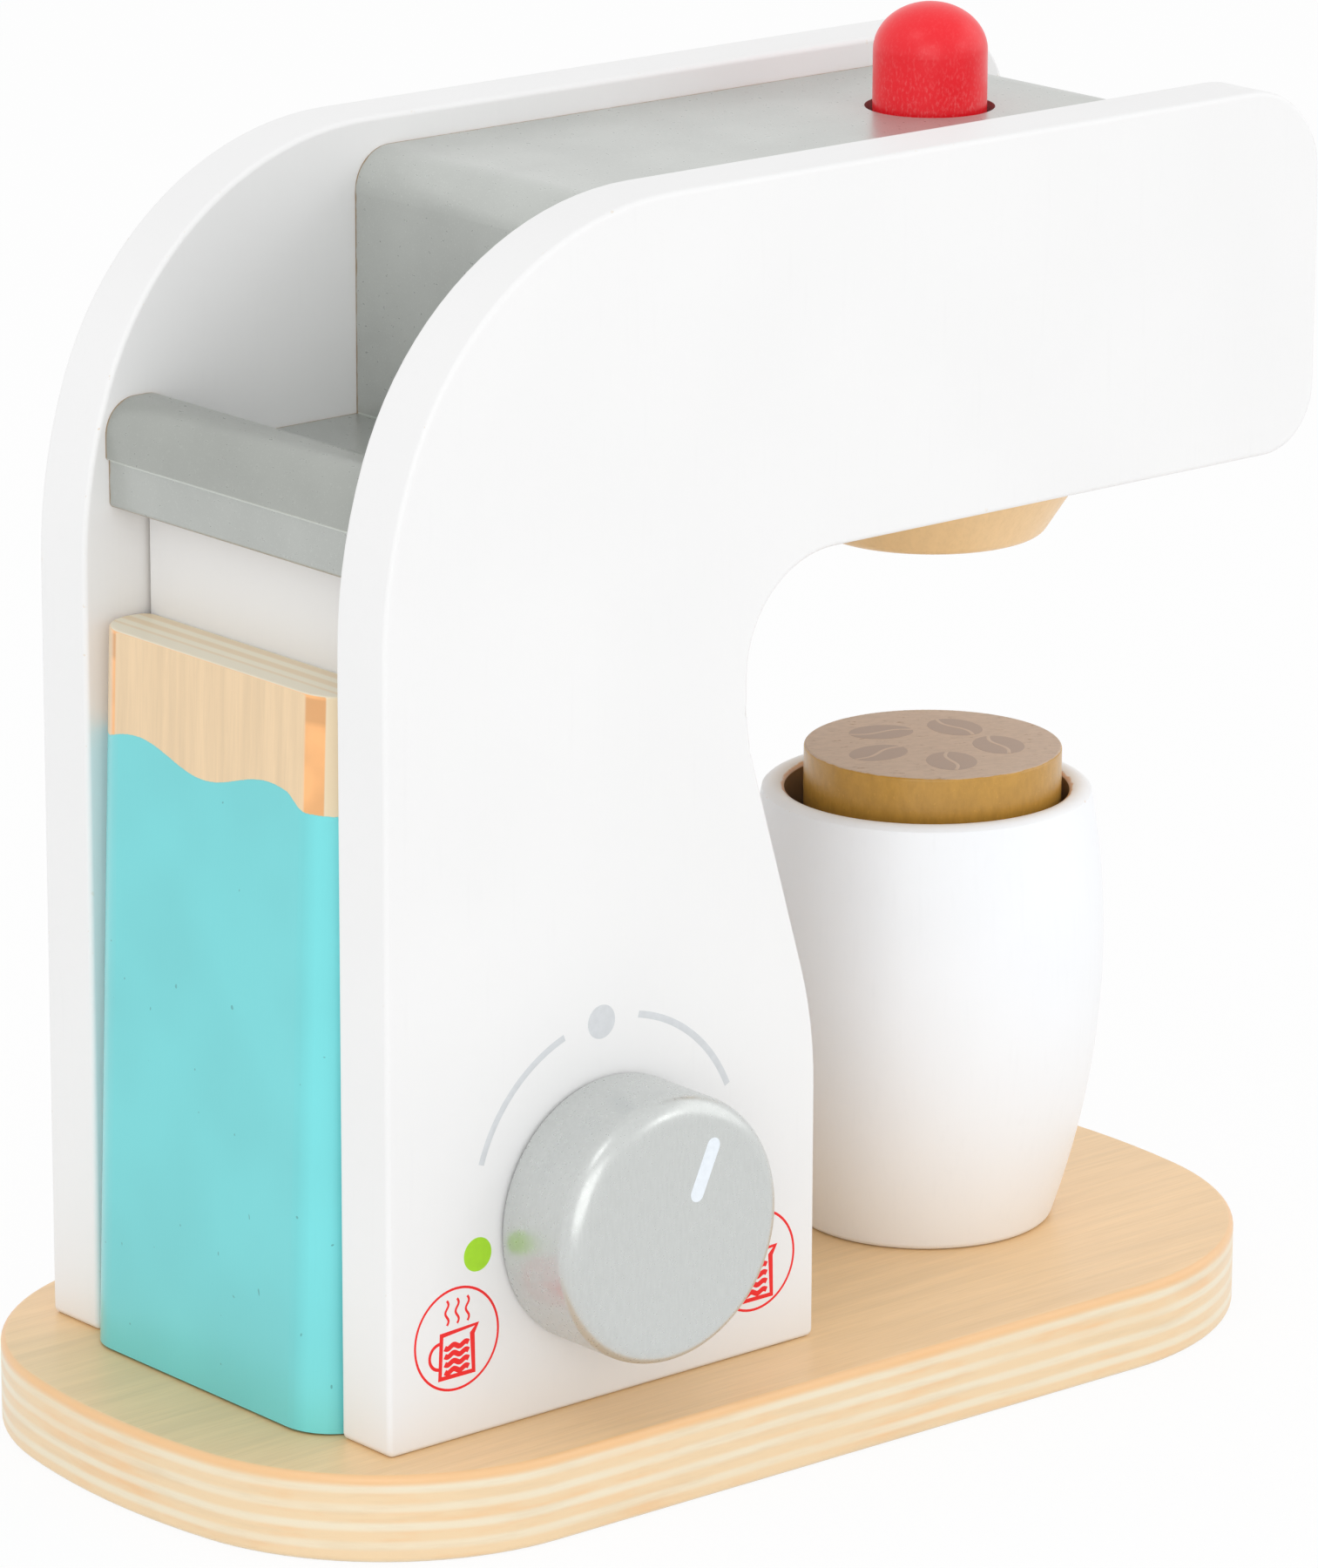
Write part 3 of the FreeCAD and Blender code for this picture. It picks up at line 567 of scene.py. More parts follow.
def tank_plies(finish, depth, height):
    """The plies on the tank's edges, and the share of face veneer, which is all at its far end."""
    _, sideways, upwards = finish.normals()
    stripe = finish.striped(depth, wood().tank_ply_start, wood().tank_ply, low=-0.6, high=0.7)
    plies = finish.blend(stripe, colours().tank_tan, colours().tank_pale)
    near_end = finish.spread(sideways, -0.3, -0.6)
    second = finish.blend(near_end, tinted(colours().tank_pale, 0.97), colours().tank_tan)
    second_ends = 2.9 * MM
    plies = finish.blend(finish.below(depth, second_ends, soft=0.3 * MM), plies, second)
    far_end = finish.spread(sideways, 0.2, 0.5)
    facing_up = finish.spread(upwards, 0.5, 0.8)
    elsewhere = finish.calc("SUBTRACT", 1.0, finish.calc("MAXIMUM", facing_up, far_end))
    in_orange = finish.below(depth, wood().orange_depth, soft=0.06 * MM)
    plies = finish.blend(finish.calc("MULTIPLY", in_orange, elsewhere), plies,
                         tank_orange(finish, height))
    in_veneer = finish.below(depth, wood().veneer_edge, soft=0.03 * MM)
    return plies, finish.calc("MAXIMUM", in_veneer, far_end)


def tank_water(finish):
    """Turquoise paint: painted highlight round the near corner, painted shade on the near end, a
    few dents.
    """
    tone = colours().turquoise
    paint = finish.clouded(finish.noise(18 * MM, detail=1.0), tinted(tone, 0.98),
                           tinted(tone, 1.04))
    sideways = finish.normals()[1]
    # Painted highlight: the rounded near corner is made paler, where gloss catches the light.
    corner = finish.calc("MULTIPLY", finish.spread(sideways, -0.15, -0.45),
                         finish.spread(sideways, -0.95, -0.75))
    highlight_strength = 0.35
    paint = finish.blend(finish.calc("MULTIPLY", corner, highlight_strength), paint,
                         tinted(tone, 1.35))
    # Painted shade: the near end, beside the near panel, is made darker.
    paint = finish.blend(finish.spread(sideways, -0.9, -0.98), paint, tinted(tone, 0.95))
    return finish.flecked(paint, finish.noise(1.1 * MM, detail=0.0), tinted(tone, 0.65),
                          start=0.86, full=0.88, strength=1.0)


def tank_paint():
    """The tank board: veneer and plies above the wavy line, turquoise paint below it."""
    finish = Finish("tank board")
    foot_back = Vector((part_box("water_tank")[0].x, 0, frame_height("base_board")))
    local = finish.moved(foot_back, turn=(0, -wood().tank_lean, 0))
    depth, across, height = finish.axes(local)
    bleed = finish.spread(finish.noise(0.35 * MM), 0.2, 0.8, -0.06 * MM, 0.06 * MM)
    over_line = finish.calc("SUBTRACT", finish.calc("ADD", height, bleed),
                            water_line(finish, across))
    bare = finish.above(over_line, 0.0, soft=0.03 * MM)
    face, fibres = straight_grain(finish, finish.stretched(local, (1, 1, 0.05)),
                                  pale=tinted(colours().tank_veneer, 1.04),
                                  dark=tinted(colours().tank_veneer, 0.93), width=2.4 * MM)
    plies, in_face = tank_plies(finish, depth, height)
    bare_wood = finish.blend(in_face, plies, face)
    base = finish.blend(bare, tank_water(finish), bare_wood)
    normal = finish.bump(bare, 0.03 * MM, under=finish.bump(fibres, 0.015 * MM))
    return finish.done(base, finish.spread(bare, 0, 1, 0.3, 0.44), normal,
                       Coat_Weight=0.3, Coat_Roughness=0.2)


def turned_wood(name, tone, centre):
    """Lacquered turned wood: the growth rings of the rod it was cut from."""
    finish = Finish(name)
    heart = centre + Vector((31 * MM, -22 * MM, 0))
    place = finish.moved(heart, stretch=(1, 1, 0.05))
    ring_width, ring_wobble = 2.6 * MM, 1.5 * MM
    rings = finish.calc("MULTIPLY_ADD", finish.noise(9 * MM, place), ring_wobble,
                        finish.from_axis(heart))
    rings = finish.calc("SINE", finish.calc("MULTIPLY", rings, math.tau / ring_width))
    fibres = finish.noise(0.5 * MM, place, detail=4.0, roughness=0.6)
    base = finish.blend(finish.spread(rings, -1, 1), tinted(tone, 1.012), tinted(tone, 0.988))
    base = finish.flecked(base, fibres, tinted(tone, 0.85), start=0.45, full=0.75, strength=0.4)
    return finish.done(base, finish.sheen(fibres, low=0.36, high=0.48),
                       finish.bump(fibres, 0.02 * MM), Coat_Weight=0.25, Coat_Roughness=0.25)


def cup_paint():
    """White paint with the turned wood's upright grain, bare wood inside the recess, and painted
    shade deep in it.
    """
    finish = Finish("cup paint")
    white = colours().cup_white
    centre = axis_of("cup")
    rim = frame_height("cup")
    grain = finish.noise(0.9 * MM, finish.moved(centre, stretch=(1, 1, 0.09)), detail=3.0,
                         roughness=0.55)
    paint = finish.clouded(finish.noise(16 * MM, detail=1.0), tinted(white, 0.985), white)
    paint = finish.flecked(paint, grain, tinted(white, 0.955), start=0.56, full=0.76,
                           strength=0.45)
    paint = rim_wear(finish, paint, tinted(colours().ply_flame, 0.8), reach=0.6 * MM,
                     amount=0.3)
    recess_radius, recess_floor, painted_shade_below = 20.225 * MM, 11.5 * MM, 0.7 * MM
    off_axis = finish.calc("ADD", finish.from_axis(centre),
                           finish.wander(2.2 * MM, reach=0.15 * MM))
    inside = finish.below(off_axis, recess_radius, soft=0.125 * MM)
    height = finish.axes()[2]
    recess = finish.calc("MULTIPLY", inside,
                         finish.above(height, rim - recess_floor, soft=0.5 * MM))
    base = finish.blend(recess, paint, tinted(colours().ply_flame, 0.85))
    # Painted shade: the recess is darkened below its top edge, where shade falls in it.
    deep = finish.below(height, rim - painted_shade_below, soft=0.2 * MM)
    base = finish.blend(finish.calc("MULTIPLY", recess, deep), base, colours().recess)
    return finish.done(base, finish.sheen(grain, low=0.36, high=0.44),
                       finish.bump(grain, 0.015 * MM))


def pad_paint():
    """Ochre paint on the side, a kraft-coloured print on the top, and a nicked arris."""
    finish = Finish("pad paint")
    centre = axis_of("coffee_pad")
    ochre, kraft = colours().ochre, colours().kraft
    brushed = finish.noise(1.1 * MM, finish.moved(centre, stretch=(1, 1, 0.45)), detail=3.0,
                           roughness=0.6)
    peel = finish.noise(0.5 * MM)
    side = finish.flecked(ochre, brushed, tinted(ochre, 0.86), start=0.35, full=0.7,
                          strength=1.0)
    side = finish.flecked(side, peel, tinted(ochre, 1.35), start=0.62, full=0.78,
                          strength=0.35)
    grain_turn = (0, 0, 0.5)
    pores = finish.noise(0.7 * MM, finish.moved(centre, grain_turn, (0.4, 1, 1)), detail=4.0,
                         roughness=0.7)
    specks = finish.noise(1.2 * MM, finish.moved(centre, grain_turn, (0.5, 1, 1)), detail=3.0,
                          roughness=0.75)
    face = finish.blend(finish.spread(pores, 0.35, 0.6), tinted(kraft, 0.95),
                        tinted(kraft, 1.06))
    face = finish.flecked(face, specks, colours().pad_speck, start=0.6, full=0.7, strength=0.6)
    print_edge = frame_height("coffee_pad") - 0.085 * MM
    height = finish.calc("ADD", finish.axes()[2],
                         finish.wander(1.8 * MM, reach=0.05 * MM, detail=3.0))
    on_top = finish.above(height, print_edge, soft=0.035 * MM)
    relief = finish.blend(on_top, peel, pores)
    return finish.done(finish.blend(on_top, side, face),
                       finish.spread(on_top, 0, 1, 0.27, 0.62), finish.bump(relief, 0.025 * MM))


def ink(name, tone, roughness=0.5):
    """Screen-printed ink: nearly even, with pinholes and a slightly uneven film."""
    finish = Finish(name)
    film = finish.noise(0.9 * MM)
    pinholes = finish.noise(0.22 * MM, detail=1.0)
    base = finish.blend(finish.spread(film, *NOISE_SWING), tinted(tone, 0.97),
                        tinted(tone, 1.03))
    base = finish.flecked(base, pinholes, tinted(tone, 1.06), start=0.7, full=0.82,
                          strength=0.35)
    return finish.done(base, finish.sheen(film, low=roughness - 0.05, high=roughness + 0.05),
                       finish.bump(film, 0.004 * MM))


def machined_metal(name, tone, roughness, centre):
    """Plated metal with fine turning marks round its axis."""
    finish = Finish(name)
    place = finish.moved(centre)
    marks = finish.noise(0.12 * MM, place)
    base = finish.flecked(tone, finish.noise(2.5 * MM, place), tinted(tone, 0.88), start=0.35,
                          full=0.7, strength=1.0)
    return finish.done(base, finish.sheen(marks, low=roughness - 0.05, high=roughness + 0.07),
                       finish.bump(marks, 0.004 * MM), Metallic=1.0)


def moulded_nylon():
    """Natural nylon with a slightly cloudy moulded skin."""
    finish = Finish("moulded nylon")
    nylon = colours().nylon
    skin = finish.noise(0.25 * MM, detail=1.0)
    base = finish.clouded(finish.noise(2 * MM), tinted(nylon, 0.95), nylon)
    return finish.done(base, finish.sheen(skin, low=0.42, high=0.52),
                       finish.bump(skin, 0.006 * MM), Subsurface_Weight=0.08)


def dress(node, material):
    """Gives a CAD node its finish."""
    piece = frame["nodes"][node]
    piece.data.materials.clear()
    piece.data.materials.append(material)


def begin_piece():
    """Leaves nothing selected, in object mode, so that an operator acts on new work alone."""
    if bpy.context.mode != "OBJECT":
        bpy.ops.object.mode_set(mode="OBJECT")
    bpy.ops.object.select_all(action="DESELECT")


def end_piece(name, material, body):
    """Settles a finished piece: its place goes into its mesh, and it rides on its body."""
    if bpy.context.mode != "OBJECT":
        bpy.ops.object.mode_set(mode="OBJECT")
    piece = bpy.context.view_layer.objects.active
    bpy.ops.object.transform_apply(location=True, rotation=True, scale=True)
    piece.name = name
    piece.data.name = name
    piece.data.materials.clear()
    piece.data.materials.append(material)
    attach(piece, body)
    return piece


def facing(normal):
    """The turn that lays a flat shape square to a direction, with its Y axis kept upright."""
    if abs(normal.z) > 0.5:
        return (0, 0, 0)
    return (math.pi / 2, 0, 0)


def drawn_path(points, place=(0, 0, 0), closed=False):
    """Begins a piece as a path along points."""
    begin_piece()
    bpy.ops.curve.primitive_nurbs_path_add(location=place)
    path = bpy.context.view_layer.objects.active
    path.data.dimensions = "3D"
    path.data.splines.clear()
    line = path.data.splines.new("POLY")
    line.points.add(len(points) - 1)
    for spot, point in zip(line.points, points):
        spot.co = (*point, 1)
    line.use_cyclic_u = closed
    return path


def close_seams():
    """Merges the doubles of the mesh in edit mode and turns its faces outwards."""
    bpy.ops.mesh.select_all(action="SELECT")
    bpy.ops.mesh.remove_doubles(threshold=MERGE_UNDER)
    bpy.ops.mesh.normals_make_consistent(inside=False)
    bpy.ops.object.mode_set(mode="OBJECT")


def printed_patch(name, centre, normal, radius, reach, material, body, squeeze=None):
    """A round patch of ink, pulled out along reach into a bar where reach has a length.

    squeeze gives a share for the patch's width and a turn, which makes it an oval."""
    film = prints().ink
    begin_piece()
    bpy.ops.mesh.primitive_circle_add(vertices=ROUND_SIDES, radius=radius, fill_type="NGON",
                                      location=centre - normal * film, rotation=facing(normal))
    patch = bpy.context.view_layer.objects.active
    if squeeze:
        share, turn = squeeze
        patch.scale = (1, share, 1)
        patch.rotation_euler.z = turn
    bpy.ops.object.transform_apply(location=True, rotation=True, scale=True)
    bpy.ops.object.mode_set(mode="EDIT")
    if reach.length > 0:
        bpy.ops.mesh.select_all(action="DESELECT")
        bpy.ops.object.mode_set(mode="OBJECT")
        for vertex in patch.data.vertices:
            vertex.select = (vertex.co - centre).dot(reach) > 0
        bpy.ops.object.mode_set(mode="EDIT")
        bpy.ops.transform.translate(value=reach)
    bpy.ops.mesh.select_all(action="SELECT")
    bpy.ops.mesh.extrude_region_move(TRANSFORM_OT_translate={"value": normal * film})
    bpy.ops.mesh.inset(thickness=film)
    bpy.ops.transform.translate(value=normal * film)
    bpy.ops.mesh.select_all(action="SELECT")
    bpy.ops.mesh.normals_make_consistent(inside=False)
    return end_piece(name, material, body)


def printed_line(name, points, normal, width, material, body, closed=False):
    """A line of ink along points: a thin tube pressed flat onto the surface."""
    path = drawn_path(points, closed=closed)
    path.data.bevel_depth = width / 2
    path.data.bevel_resolution = 2
    path.data.use_fill_caps = not closed
    bpy.ops.object.convert(target="MESH")
    level = points[0].dot(normal)
    flat = Vector(prints().ink / (width / 2) if abs(part) > 0.5 else 1 for part in normal)
    bpy.ops.object.mode_set(mode="EDIT")
    bpy.ops.mesh.select_all(action="SELECT")
    bpy.ops.transform.resize(value=flat, center_override=normal * level)
    close_seams()
    bpy.ops.object.shade_smooth_by_angle(angle=LINE_SMOOTH_UNDER)
    return end_piece(name, material, body)


def panel_line(name, points, width, material, closed=False):
    """A line of ink on the near panel."""
    return printed_line(name, points, TOWARDS_KNOB_SIDE, width, material, "housing",
                        closed)


def arc_point(centre, radius, turn):
    """A point round a centre on the near panel. Angles run from +X towards +Z."""
    return centre + Vector((math.cos(turn), 0, math.sin(turn))) * radius


def arc_points(centre, radius, start, end, steps):
    """Points of an arc on the near panel."""
    return [arc_point(centre, radius, start + (end - start) * step / steps)
            for step in range(steps + 1)]


def wavy_points(start, end, rise, waves, steps):
    """Points of a wavy line on the near panel, from start to end."""
    way = (end - start).normalized()
    side = way.cross(TOWARDS_KNOB_SIDE)
    points = []
    for step in range(steps + 1):
        share = step / steps
        points.append(start.lerp(end, share) + side * rise * math.sin(math.tau * waves * share))
    return points


def knob_centre():
    """Where the knob's axis meets the near panel's face."""
    turn = next(joint for joint in frame["joints"] if joint["name"] == "knob_turn")
    x, _, z = turn["pos_m"]
    return Vector((x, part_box("knob_side_panel")[0].y, z))


def panel_place(back, height):
    """A place on the near panel's face, from the base's middle and top."""
    return Vector((axis_of("base_board").x - back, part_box("knob_side_panel")[0].y,
                   frame_height("base_board") + height))


class MAKER_OT_boards(bpy.types.Operator):
    """Finish the base, the painted boards and the tank"""
    bl_idname = "coffee_maker.boards"
    bl_label = "Finish Boards"

    def execute(self, context):
        dress("base_board", base_plywood())
        white = white_board_paint()
        for node in ("knob_side_panel", "plain_side_panel", "column_rear_panel",
                     "column_front_panel"):
            dress(node, white)
        # Painted light and shade: one grey lacquer, lighter on the hood and darker on the lip.
        painted_light_greys = {"hood_block": colours().hood_grey_painted_light, "deck_board": colours().deck_grey_painted_light,
                 "deck_lip": colours().lip_grey_painted_shade}
        for node, tone in painted_light_greys.items():
            dress(node, grey_board_paint(node, tone))
        dress("water_tank", tank_paint())
        return {"FINISHED"}


class MAKER_OT_turned(bpy.types.Operator):
    """Finish the turned pieces: button, knob, brew head, cup and pad"""
    bl_idname = "coffee_maker.turned"
    bl_label = "Finish Turned Pieces"

    def execute(self, context):
        dress("button", red_button_paint())
        dress("knob", silver_knob_paint())
        dress("brew_head", turned_wood("brew head wood", colours().turned,
                                       axis_of("brew_head")))
        dress("cup", cup_paint())
        dress("coffee_pad", pad_paint())
        return {"FINISHED"}


class MAKER_OT_hardware(bpy.types.Operator):
    """Finish the screws, the washer, the bush, the spring and the dowels"""
    bl_idname = "coffee_maker.hardware"
    bl_label = "Finish Hardware"

    def execute(self, context):
        for node in ("base_screws", "brew_head_screw", "knob_screw", "knob_washer"):
            dress(node, machined_metal(node.replace("_", " ") + " steel", colours().steel,
                                       roughness=0.3, centre=axis_of(node)))
        dress("button_spring", machined_metal("spring wire", colours().spring_steel,
                                              roughness=0.24,
                                              centre=axis_of("button_spring")))
        dress("knob_bush", moulded_nylon())
        dress("hood_dowels", turned_wood("dowel wood", colours().dowel,
                                         axis_of("hood_dowels")))
        return {"FINISHED"}


class MAKER_OT_dial(bpy.types.Operator):
    """Print the dial's arcs and dots round the knob"""
    bl_idname = "coffee_maker.dial"
    bl_label = "Print Dial"

    def execute(self, context):
        sizes = prints()
        grey = ink("dial grey ink", colours().dial_grey)
        green = ink("dial green ink", colours().dial_green)
        centre = panel_place(sizes.dial_back, sizes.dial_height)
        top = math.pi / 2 + sizes.dial_turn
        for name, side in (("dial_arc_rear", 1), ("dial_arc_front", -1)):
            points = arc_points(centre, sizes.dial_radius, top + side * sizes.arc_start,
                                top + side * sizes.arc_end, steps=28)
            panel_line(name, points, sizes.dial_line, grey)
        dots = (("dial_dot_top", 0, sizes.top_reach, grey),
                ("dial_dot_rear", 1, sizes.side_reach, green),
                ("dial_dot_front", -1, sizes.side_reach, green))
        for name, side, reach, material in dots:
            place = arc_point(centre, reach, top + side * sizes.side_dot)
            printed_patch(name, place, TOWARDS_KNOB_SIDE, sizes.dot_radius, Vector(),
                          material, "housing")
        return {"FINISHED"}


class MAKER_OT_icons(bpy.types.Operator):
    """Print the two jug icons in their rings"""
    bl_idname = "coffee_maker.icons"
    bl_label = "Print Icons"

    # Places and sizes on an icon, in millimetres from its middle
    jug_outline = ((-2.5, 0.9), (-2.8, -5.0), (2.8, -5.0), (2.6, 0.2), (3.4, 1.3))
    handle_across, handle_level, handle_radius = -2.75, -1.9, 1.75
    handle_start, handle_end = math.radians(82), math.radians(278)
    drink_rows, drink_foot, drink_step, drink_reach, drink_rise = 4, -4.2, 1.1, 2.0, 0.2
    curls, curl_start, curl_step = 3, -1.6, 1.7
    curl_foot, curl_top, curl_rise = 2.1, 5.5, 0.26
    front_size = 1.08

    def execute(self, context):
        sizes = prints()
        red = ink("icon red ink", colours().icon_red)
        for side, end, size in ((-1, "rear", 1.0), (1, "front", self.front_size)):
            centre = panel_place(sizes.icon_back - side * sizes.icon_spacing,
                                 sizes.icon_height - side * sizes.icon_slope)
            ring = arc_points(centre, sizes.ring_radius, 0, math.tau, steps=64)[:-1]
            panel_line("icon_ring_" + end, ring, sizes.ring_line, red, closed=True)
            self.jug(centre, end, size, red)
            if end == "rear":
                self.steam(centre, end, red)
        return {"FINISHED"}

    def at(self, centre, across, level):
        """A place on the icon, in millimetres from its middle."""
        return centre + Vector((across * MM, 0, level * MM))

    def jug(self, centre, end, size, red):
        """A jug that narrows upwards, with its spout, its handle and the drink in it."""
        sizes = prints()
        outline = [self.at(centre, across * size, level * size)
                   for across, level in self.jug_outline]
        panel_line("icon_jug_" + end, outline, sizes.jug_line, red, closed=True)
        middle = self.at(centre, self.handle_across * size, self.handle_level * size)
        handle = arc_points(middle, self.handle_radius * MM, self.handle_start,
                            self.handle_end, steps=18)
        panel_line("icon_handle_" + end, handle, sizes.ring_line * 1.3, red)
        for row in range(self.drink_rows):
            level = (self.drink_foot + self.drink_step * row) * size
            wave = wavy_points(self.at(centre, -self.drink_reach * size, level),
                               self.at(centre, self.drink_reach * size, level),
                               self.drink_rise * MM, waves=2, steps=32)
            panel_line("icon_drink_%s_%d" % (end, row), wave, sizes.drink_line, red)

    def steam(self, centre, end, red):
        """Curls of steam over the jug."""
        for column in range(self.curls):
            across = self.curl_start + self.curl_step * column
            curl = wavy_points(self.at(centre, across, self.curl_foot),
                               self.at(centre, across, self.curl_top),
                               self.curl_rise * MM, waves=1.5, steps=30)
            panel_line("icon_steam_%s_%d" % (end, column), curl, prints().steam_line, red)


class MAKER_OT_knob(bpy.types.Operator):
    """Turn the knob with its wide front rounding, in place of the plain solid"""
    bl_idname = "coffee_maker.knob"
    bl_label = "Turn Knob"
    lathe_steps = 180
    brink = 0.15 * MM

    def execute(self, context):
        low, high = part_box("knob")
        axis = knob_centre()
        axis.y = high.y
        section = self.section((high.z - low.z) / 2, high.y - low.y)
        drawn_path([(across, -along, 0) for across, along in section], place=axis)
        bpy.ops.object.convert(target="MESH")
        bpy.ops.object.modifier_add(type="SCREW")
        lathe = bpy.context.view_layer.objects.active.modifiers[-1]
        lathe.axis = "Y"
        lathe.steps = self.lathe_steps
        lathe.render_steps = self.lathe_steps
        bpy.ops.object.modifier_apply(modifier=lathe.name)
        bpy.ops.object.mode_set(mode="EDIT")
        close_seams()
        bpy.ops.object.shade_smooth_by_angle(angle=KNOB_SMOOTH_UNDER)
        piece = end_piece("knob_turned", bpy.data.materials["silver knob paint"], "knob")
        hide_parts("knob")
        return {"FINISHED"}

    def section(self, radius, thickness):
        """Half of the knob's section, from its bore round to the middle of its face.

        A point a brink away from each rounding keeps the flats flat under smooth shading."""
        sizes = wood()
        rear, front = sizes.knob_rear, sizes.knob_front
        points = [(0, sizes.bore_depth), (sizes.bore_radius, sizes.bore_depth),
                  (sizes.bore_radius, 0), (radius - rear - self.brink, 0)]
        points += self.corner(radius - rear, rear, rear, -90, 0, steps=6)
        points += [(radius, rear + self.brink), (radius, thickness - front - self.brink)]
        points += self.corner(radius - front, thickness - front, front, 0, 90, steps=16)
        points += [(radius - front - self.brink, thickness), (0, thickness)]
        return points

    def corner(self, across, along, rounding, start, end, steps):
        """Points of a rounded arris about its centre, between two angles in degrees."""
        points = []
        for step in range(steps + 1):
            turn = math.radians(start + (end - start) * step / steps)
            points.append((across + rounding * math.cos(turn),
                           along + rounding * math.sin(turn)))
        return points


class MAKER_OT_pointer(bpy.types.Operator):
    """Print the white bar on the knob's face"""
    bl_idname = "coffee_maker.pointer"
    bl_label = "Print Pointer"

    def execute(self, context):
        sizes = prints()
        face = knob_centre()
        face.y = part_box("knob")[0].y
        way = Vector((math.cos(sizes.pointer_turn), 0, math.sin(sizes.pointer_turn)))
        face += Vector((way.z, 0, -way.x)) * sizes.pointer_aside
        printed_patch("knob_pointer", face + way * sizes.pointer_start, TOWARDS_KNOB_SIDE,
                      sizes.pointer_width / 2, way * (sizes.pointer_end - sizes.pointer_start),
                      ink("pointer ink", colours().pointer), "knob")
        return {"FINISHED"}


class MAKER_OT_beans(bpy.types.Operator):
    """Print the coffee beans on the pad"""
    bl_idname = "coffee_maker.beans"
    bl_label = "Print Beans"
    first_place = 28
    turns = (-99, -23, 5, -125, -115)
    crease_sway = 0.55 * MM
    crease_width = 0.5 * MM
    crease_steps = 20

    def execute(self, context):
        sizes = prints()
        middle = axis_of("coffee_pad")
        middle.z = frame_height("coffee_pad")
        brown = ink("bean ink", colours().bean, 0.6)
        pale = ink("bean crease ink", tinted(colours().kraft, 1.05), 0.6)
        for index in range(sizes.bean_count):
            round_pad = math.radians(self.first_place) + math.tau * index / sizes.bean_count
            turn = math.radians(self.turns[index % len(self.turns)])
            centre = middle + Vector((math.cos(round_pad), math.sin(round_pad), 0)) \
                * sizes.bean_ring
            share = sizes.bean_width / sizes.bean_length
            printed_patch("pad_bean_%d" % index, centre, UP, sizes.bean_length / 2, Vector(),
                          brown, "coffee_pad", squeeze=(share, turn))
            self.crease(index, centre, turn, pale)
        return {"FINISHED"}

    def crease(self, index, centre, turn, pale):
        """The S-shaped crease along a bean."""
        half = prints().bean_length / 2
        along = Vector((math.cos(turn), math.sin(turn), 0))
        across = Vector((-along.y, along.x, 0))
        points = []
        for step in range(self.crease_steps + 1):
            share = 2 * step / self.crease_steps - 1
            points.append(centre + UP * prints().ink + along * half * share
                          + across * self.crease_sway * math.sin(math.pi * share))
        printed_line("pad_crease_%d" % index, points, UP, self.crease_width, pale,
                     "coffee_pad")


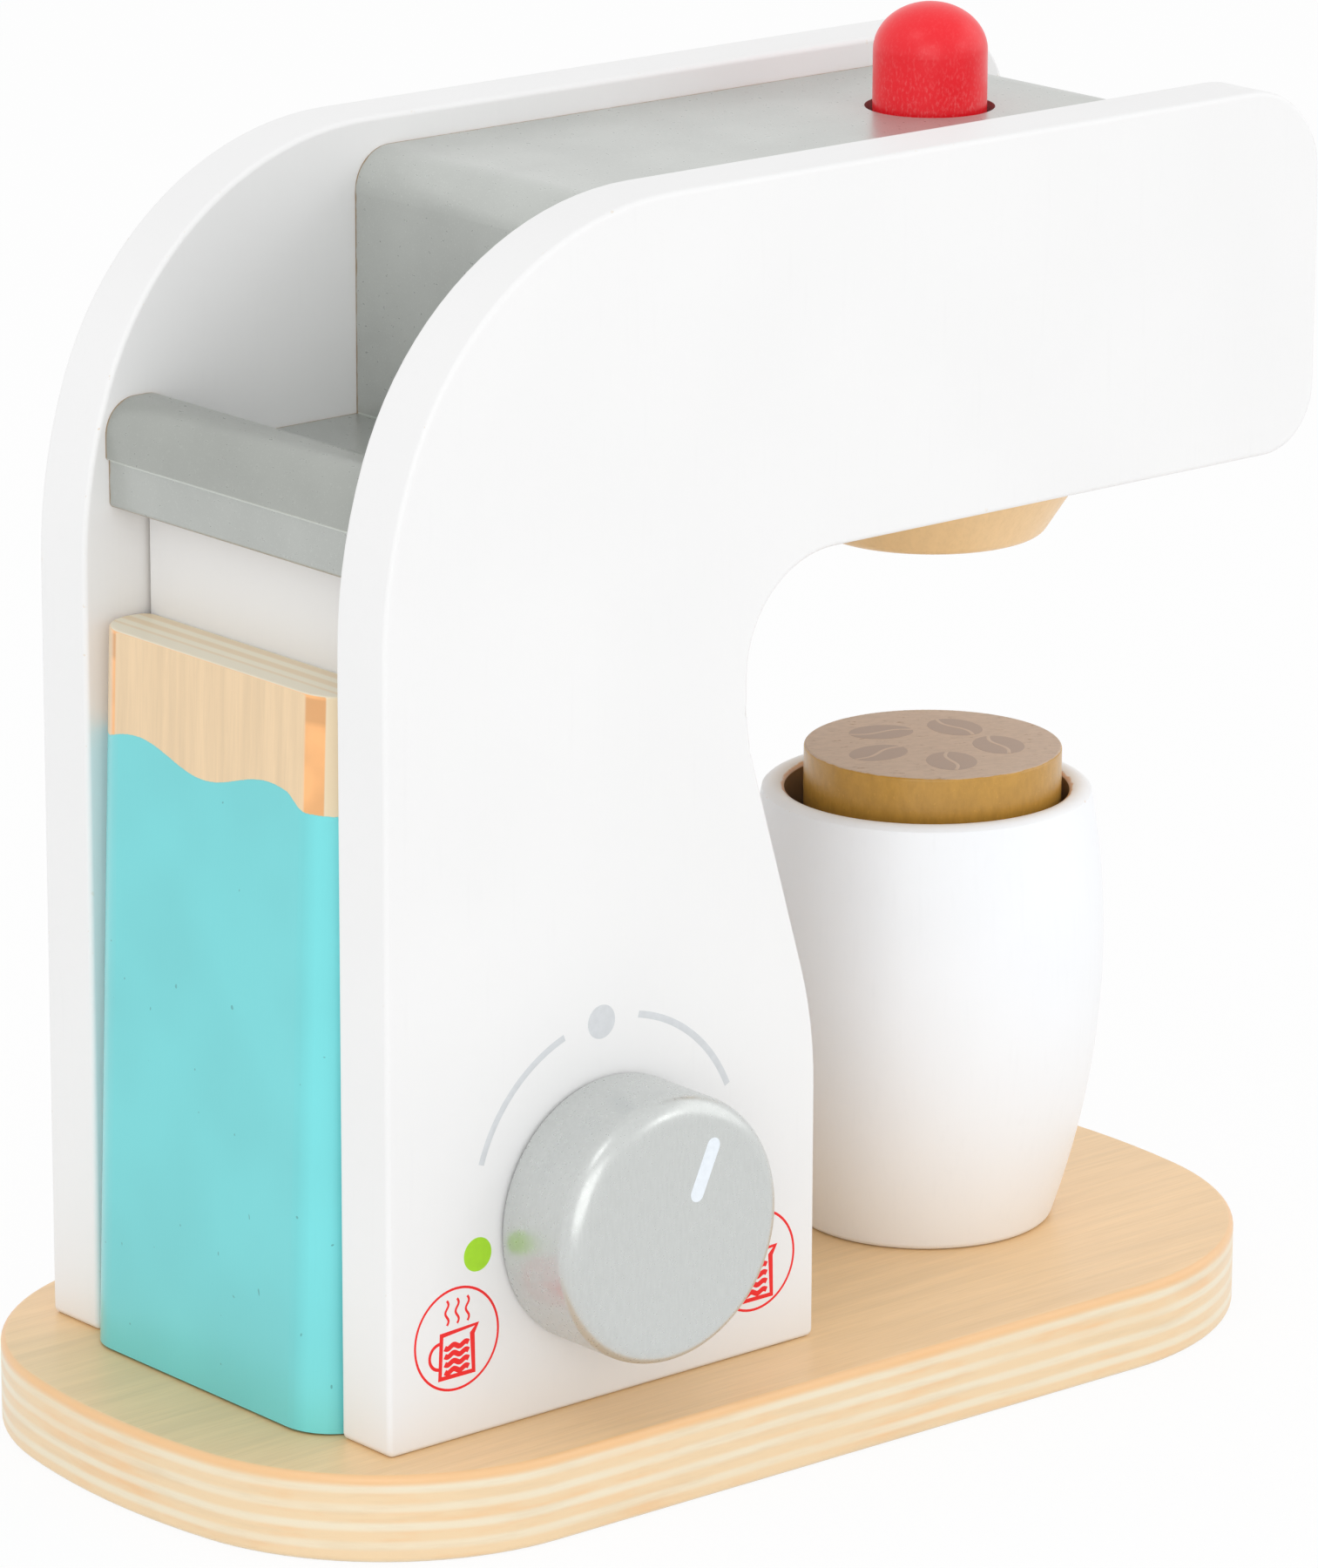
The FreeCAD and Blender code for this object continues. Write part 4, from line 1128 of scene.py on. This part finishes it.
class MAKER_OT_stage(bpy.types.Operator):
    """Set the floor, the lamps, the surrounding light and the camera"""
    bl_idname = "coffee_maker.stage"
    bl_label = "Set Stage"
    floor_size = 12
    floor_tone = 0.92
    floor_roughness = 0.9
    soft_lamp = 0.8
    small_lamp = 0.3

    def execute(self, context):
        context.scene.view_settings.view_transform = "Standard"
        self.floor(context)
        self.world(context)
        stage = context.scene.maker_stage
        lamps = {"camera_lamp": ((-0.72, -0.72, 0.4), self.soft_lamp, stage.camera_power),
                 "right_lamp": ((0.9, -0.35, 0.5), self.soft_lamp, stage.right_power),
                 "rear_glint": ((-0.54, -0.05, 0.95), self.small_lamp, stage.glint_power),
                 "front_glint": ((0.5, -0.8, 0.54), self.small_lamp, stage.glint_power)}
        for name, (place, size, power) in lamps.items():
            self.lamp(name, Vector(place), size, power)
        self.camera(context)
        return {"FINISHED"}

    def seen_directly(self, tree):
        """One where the camera sees a surface, also in a mirror or through glass."""
        rays = tree.nodes.new("ShaderNodeLightPath")
        total = rays.outputs["Is Camera Ray"]
        for other in ("Is Glossy Ray", "Is Transmission Ray"):
            adder = tree.nodes.new("ShaderNodeMath")
            adder.operation = "MAXIMUM"
            tree.links.new(total, adder.inputs[0])
            tree.links.new(rays.outputs[other], adder.inputs[1])
            total = adder.outputs[0]
        return total

    def floor(self, context):
        begin_piece()
        bpy.ops.mesh.primitive_plane_add(size=self.floor_size, location=(0, 0, 0))
        floor = bpy.context.view_layer.objects.active
        floor.name = "stage_floor"
        material = bpy.data.materials.new("stage floor")
        material.use_nodes = True
        tree = material.node_tree
        plain = tree.nodes["Principled BSDF"]
        plain.inputs["Base Color"].default_value = (*[self.floor_tone] * 3, 1)
        plain.inputs["Roughness"].default_value = self.floor_roughness
        white = tree.nodes.new("ShaderNodeEmission")
        white.inputs["Color"].default_value = (1, 1, 1, 1)
        share = tree.nodes.new("ShaderNodeMath")
        share.operation = "MULTIPLY"
        share.inputs[1].default_value = context.scene.maker_stage.floor_light
        tree.links.new(self.seen_directly(tree), share.inputs[0])
        both = tree.nodes.new("ShaderNodeMixShader")
        tree.links.new(share.outputs[0], both.inputs[0])
        tree.links.new(plain.outputs[0], both.inputs[1])
        tree.links.new(white.outputs[0], both.inputs[2])
        tree.links.new(both.outputs[0], tree.nodes["Material Output"].inputs["Surface"])
        floor.data.materials.append(material)

    def world(self, context):
        world = bpy.data.worlds.new("pale room")
        context.scene.world = world
        world.use_nodes = True
        tree = world.node_tree
        sky = tree.nodes["Background"]
        sky.inputs["Color"].default_value = (1, 1, 1, 1)
        level = tree.nodes.new("ShaderNodeMapRange")
        level.inputs["To Min"].default_value = context.scene.maker_stage.ambient
        level.inputs["To Max"].default_value = 1.0
        tree.links.new(self.seen_directly(tree), level.inputs["Value"])
        tree.links.new(level.outputs[0], sky.inputs["Strength"])

    def lamp(self, name, place, size, power):
        """A square soft lamp that points at the middle of the object."""
        begin_piece()
        middle = (CAD_BOX[0] + CAD_BOX[1]) / 2
        bpy.ops.object.light_add(type="AREA", location=place)
        lamp = bpy.context.view_layer.objects.active
        lamp.name = name
        lamp.data.size = size
        lamp.data.energy = power
        lamp.rotation_euler = (place - middle).to_track_quat("Z", "Y").to_euler()

    def camera(self, context):
        stage = context.scene.maker_stage
        begin_piece()
        bpy.ops.object.camera_add()
        camera = bpy.context.view_layer.objects.active
        camera.name = "photo_camera"
        camera.data.sensor_width = 36
        camera.data.lens = stage.lens
        camera.data.clip_start = 0.01
        camera.data.clip_end = 100
        turn = (Matrix.Rotation(-stage.yaw, 4, "Z")
                @ Matrix.Rotation(math.pi / 2 - stage.pitch, 4, "X")
                @ Matrix.Rotation(stage.roll, 4, "Z"))
        camera.matrix_world = Matrix.Translation(stage.camera_place) @ turn
        context.scene.camera = camera


OPERATORS = (MAKER_OT_boards, MAKER_OT_turned, MAKER_OT_hardware, MAKER_OT_dial,
             MAKER_OT_icons, MAKER_OT_knob, MAKER_OT_pointer, MAKER_OT_beans, MAKER_OT_stage)


class MAKER_PT_sidebar(bpy.types.Panel):
    """Lists the finishing steps and their sizes and colours"""
    bl_label = "Toy Coffee Maker"
    bl_idname = "MAKER_PT_sidebar"
    bl_space_type = "VIEW_3D"
    bl_region_type = "UI"
    bl_category = "Coffee Maker"

    def draw(self, context):
        for operator in OPERATORS:
            self.layout.operator(operator.bl_idname)
        for group, kind in GROUPS.items():
            box = self.layout.box()
            for name in kind.__annotations__:
                box.prop(getattr(context.scene, group), name)


def register():
    for kind in (*GROUPS.values(), *OPERATORS, MAKER_PT_sidebar):
        bpy.utils.register_class(kind)
    for name, kind in GROUPS.items():
        setattr(bpy.types.Scene, name, PointerProperty(type=kind))


def unregister():
    for name in GROUPS:
        delattr(bpy.types.Scene, name)
    for kind in (MAKER_PT_sidebar, *reversed(OPERATORS), *reversed(list(GROUPS.values()))):
        bpy.utils.unregister_class(kind)


def main():
    register()
    for operator in OPERATORS:
        group, name = operator.bl_idname.split(".")
        getattr(getattr(bpy.ops, group), name)()


if __name__ == "__main__":
    main()
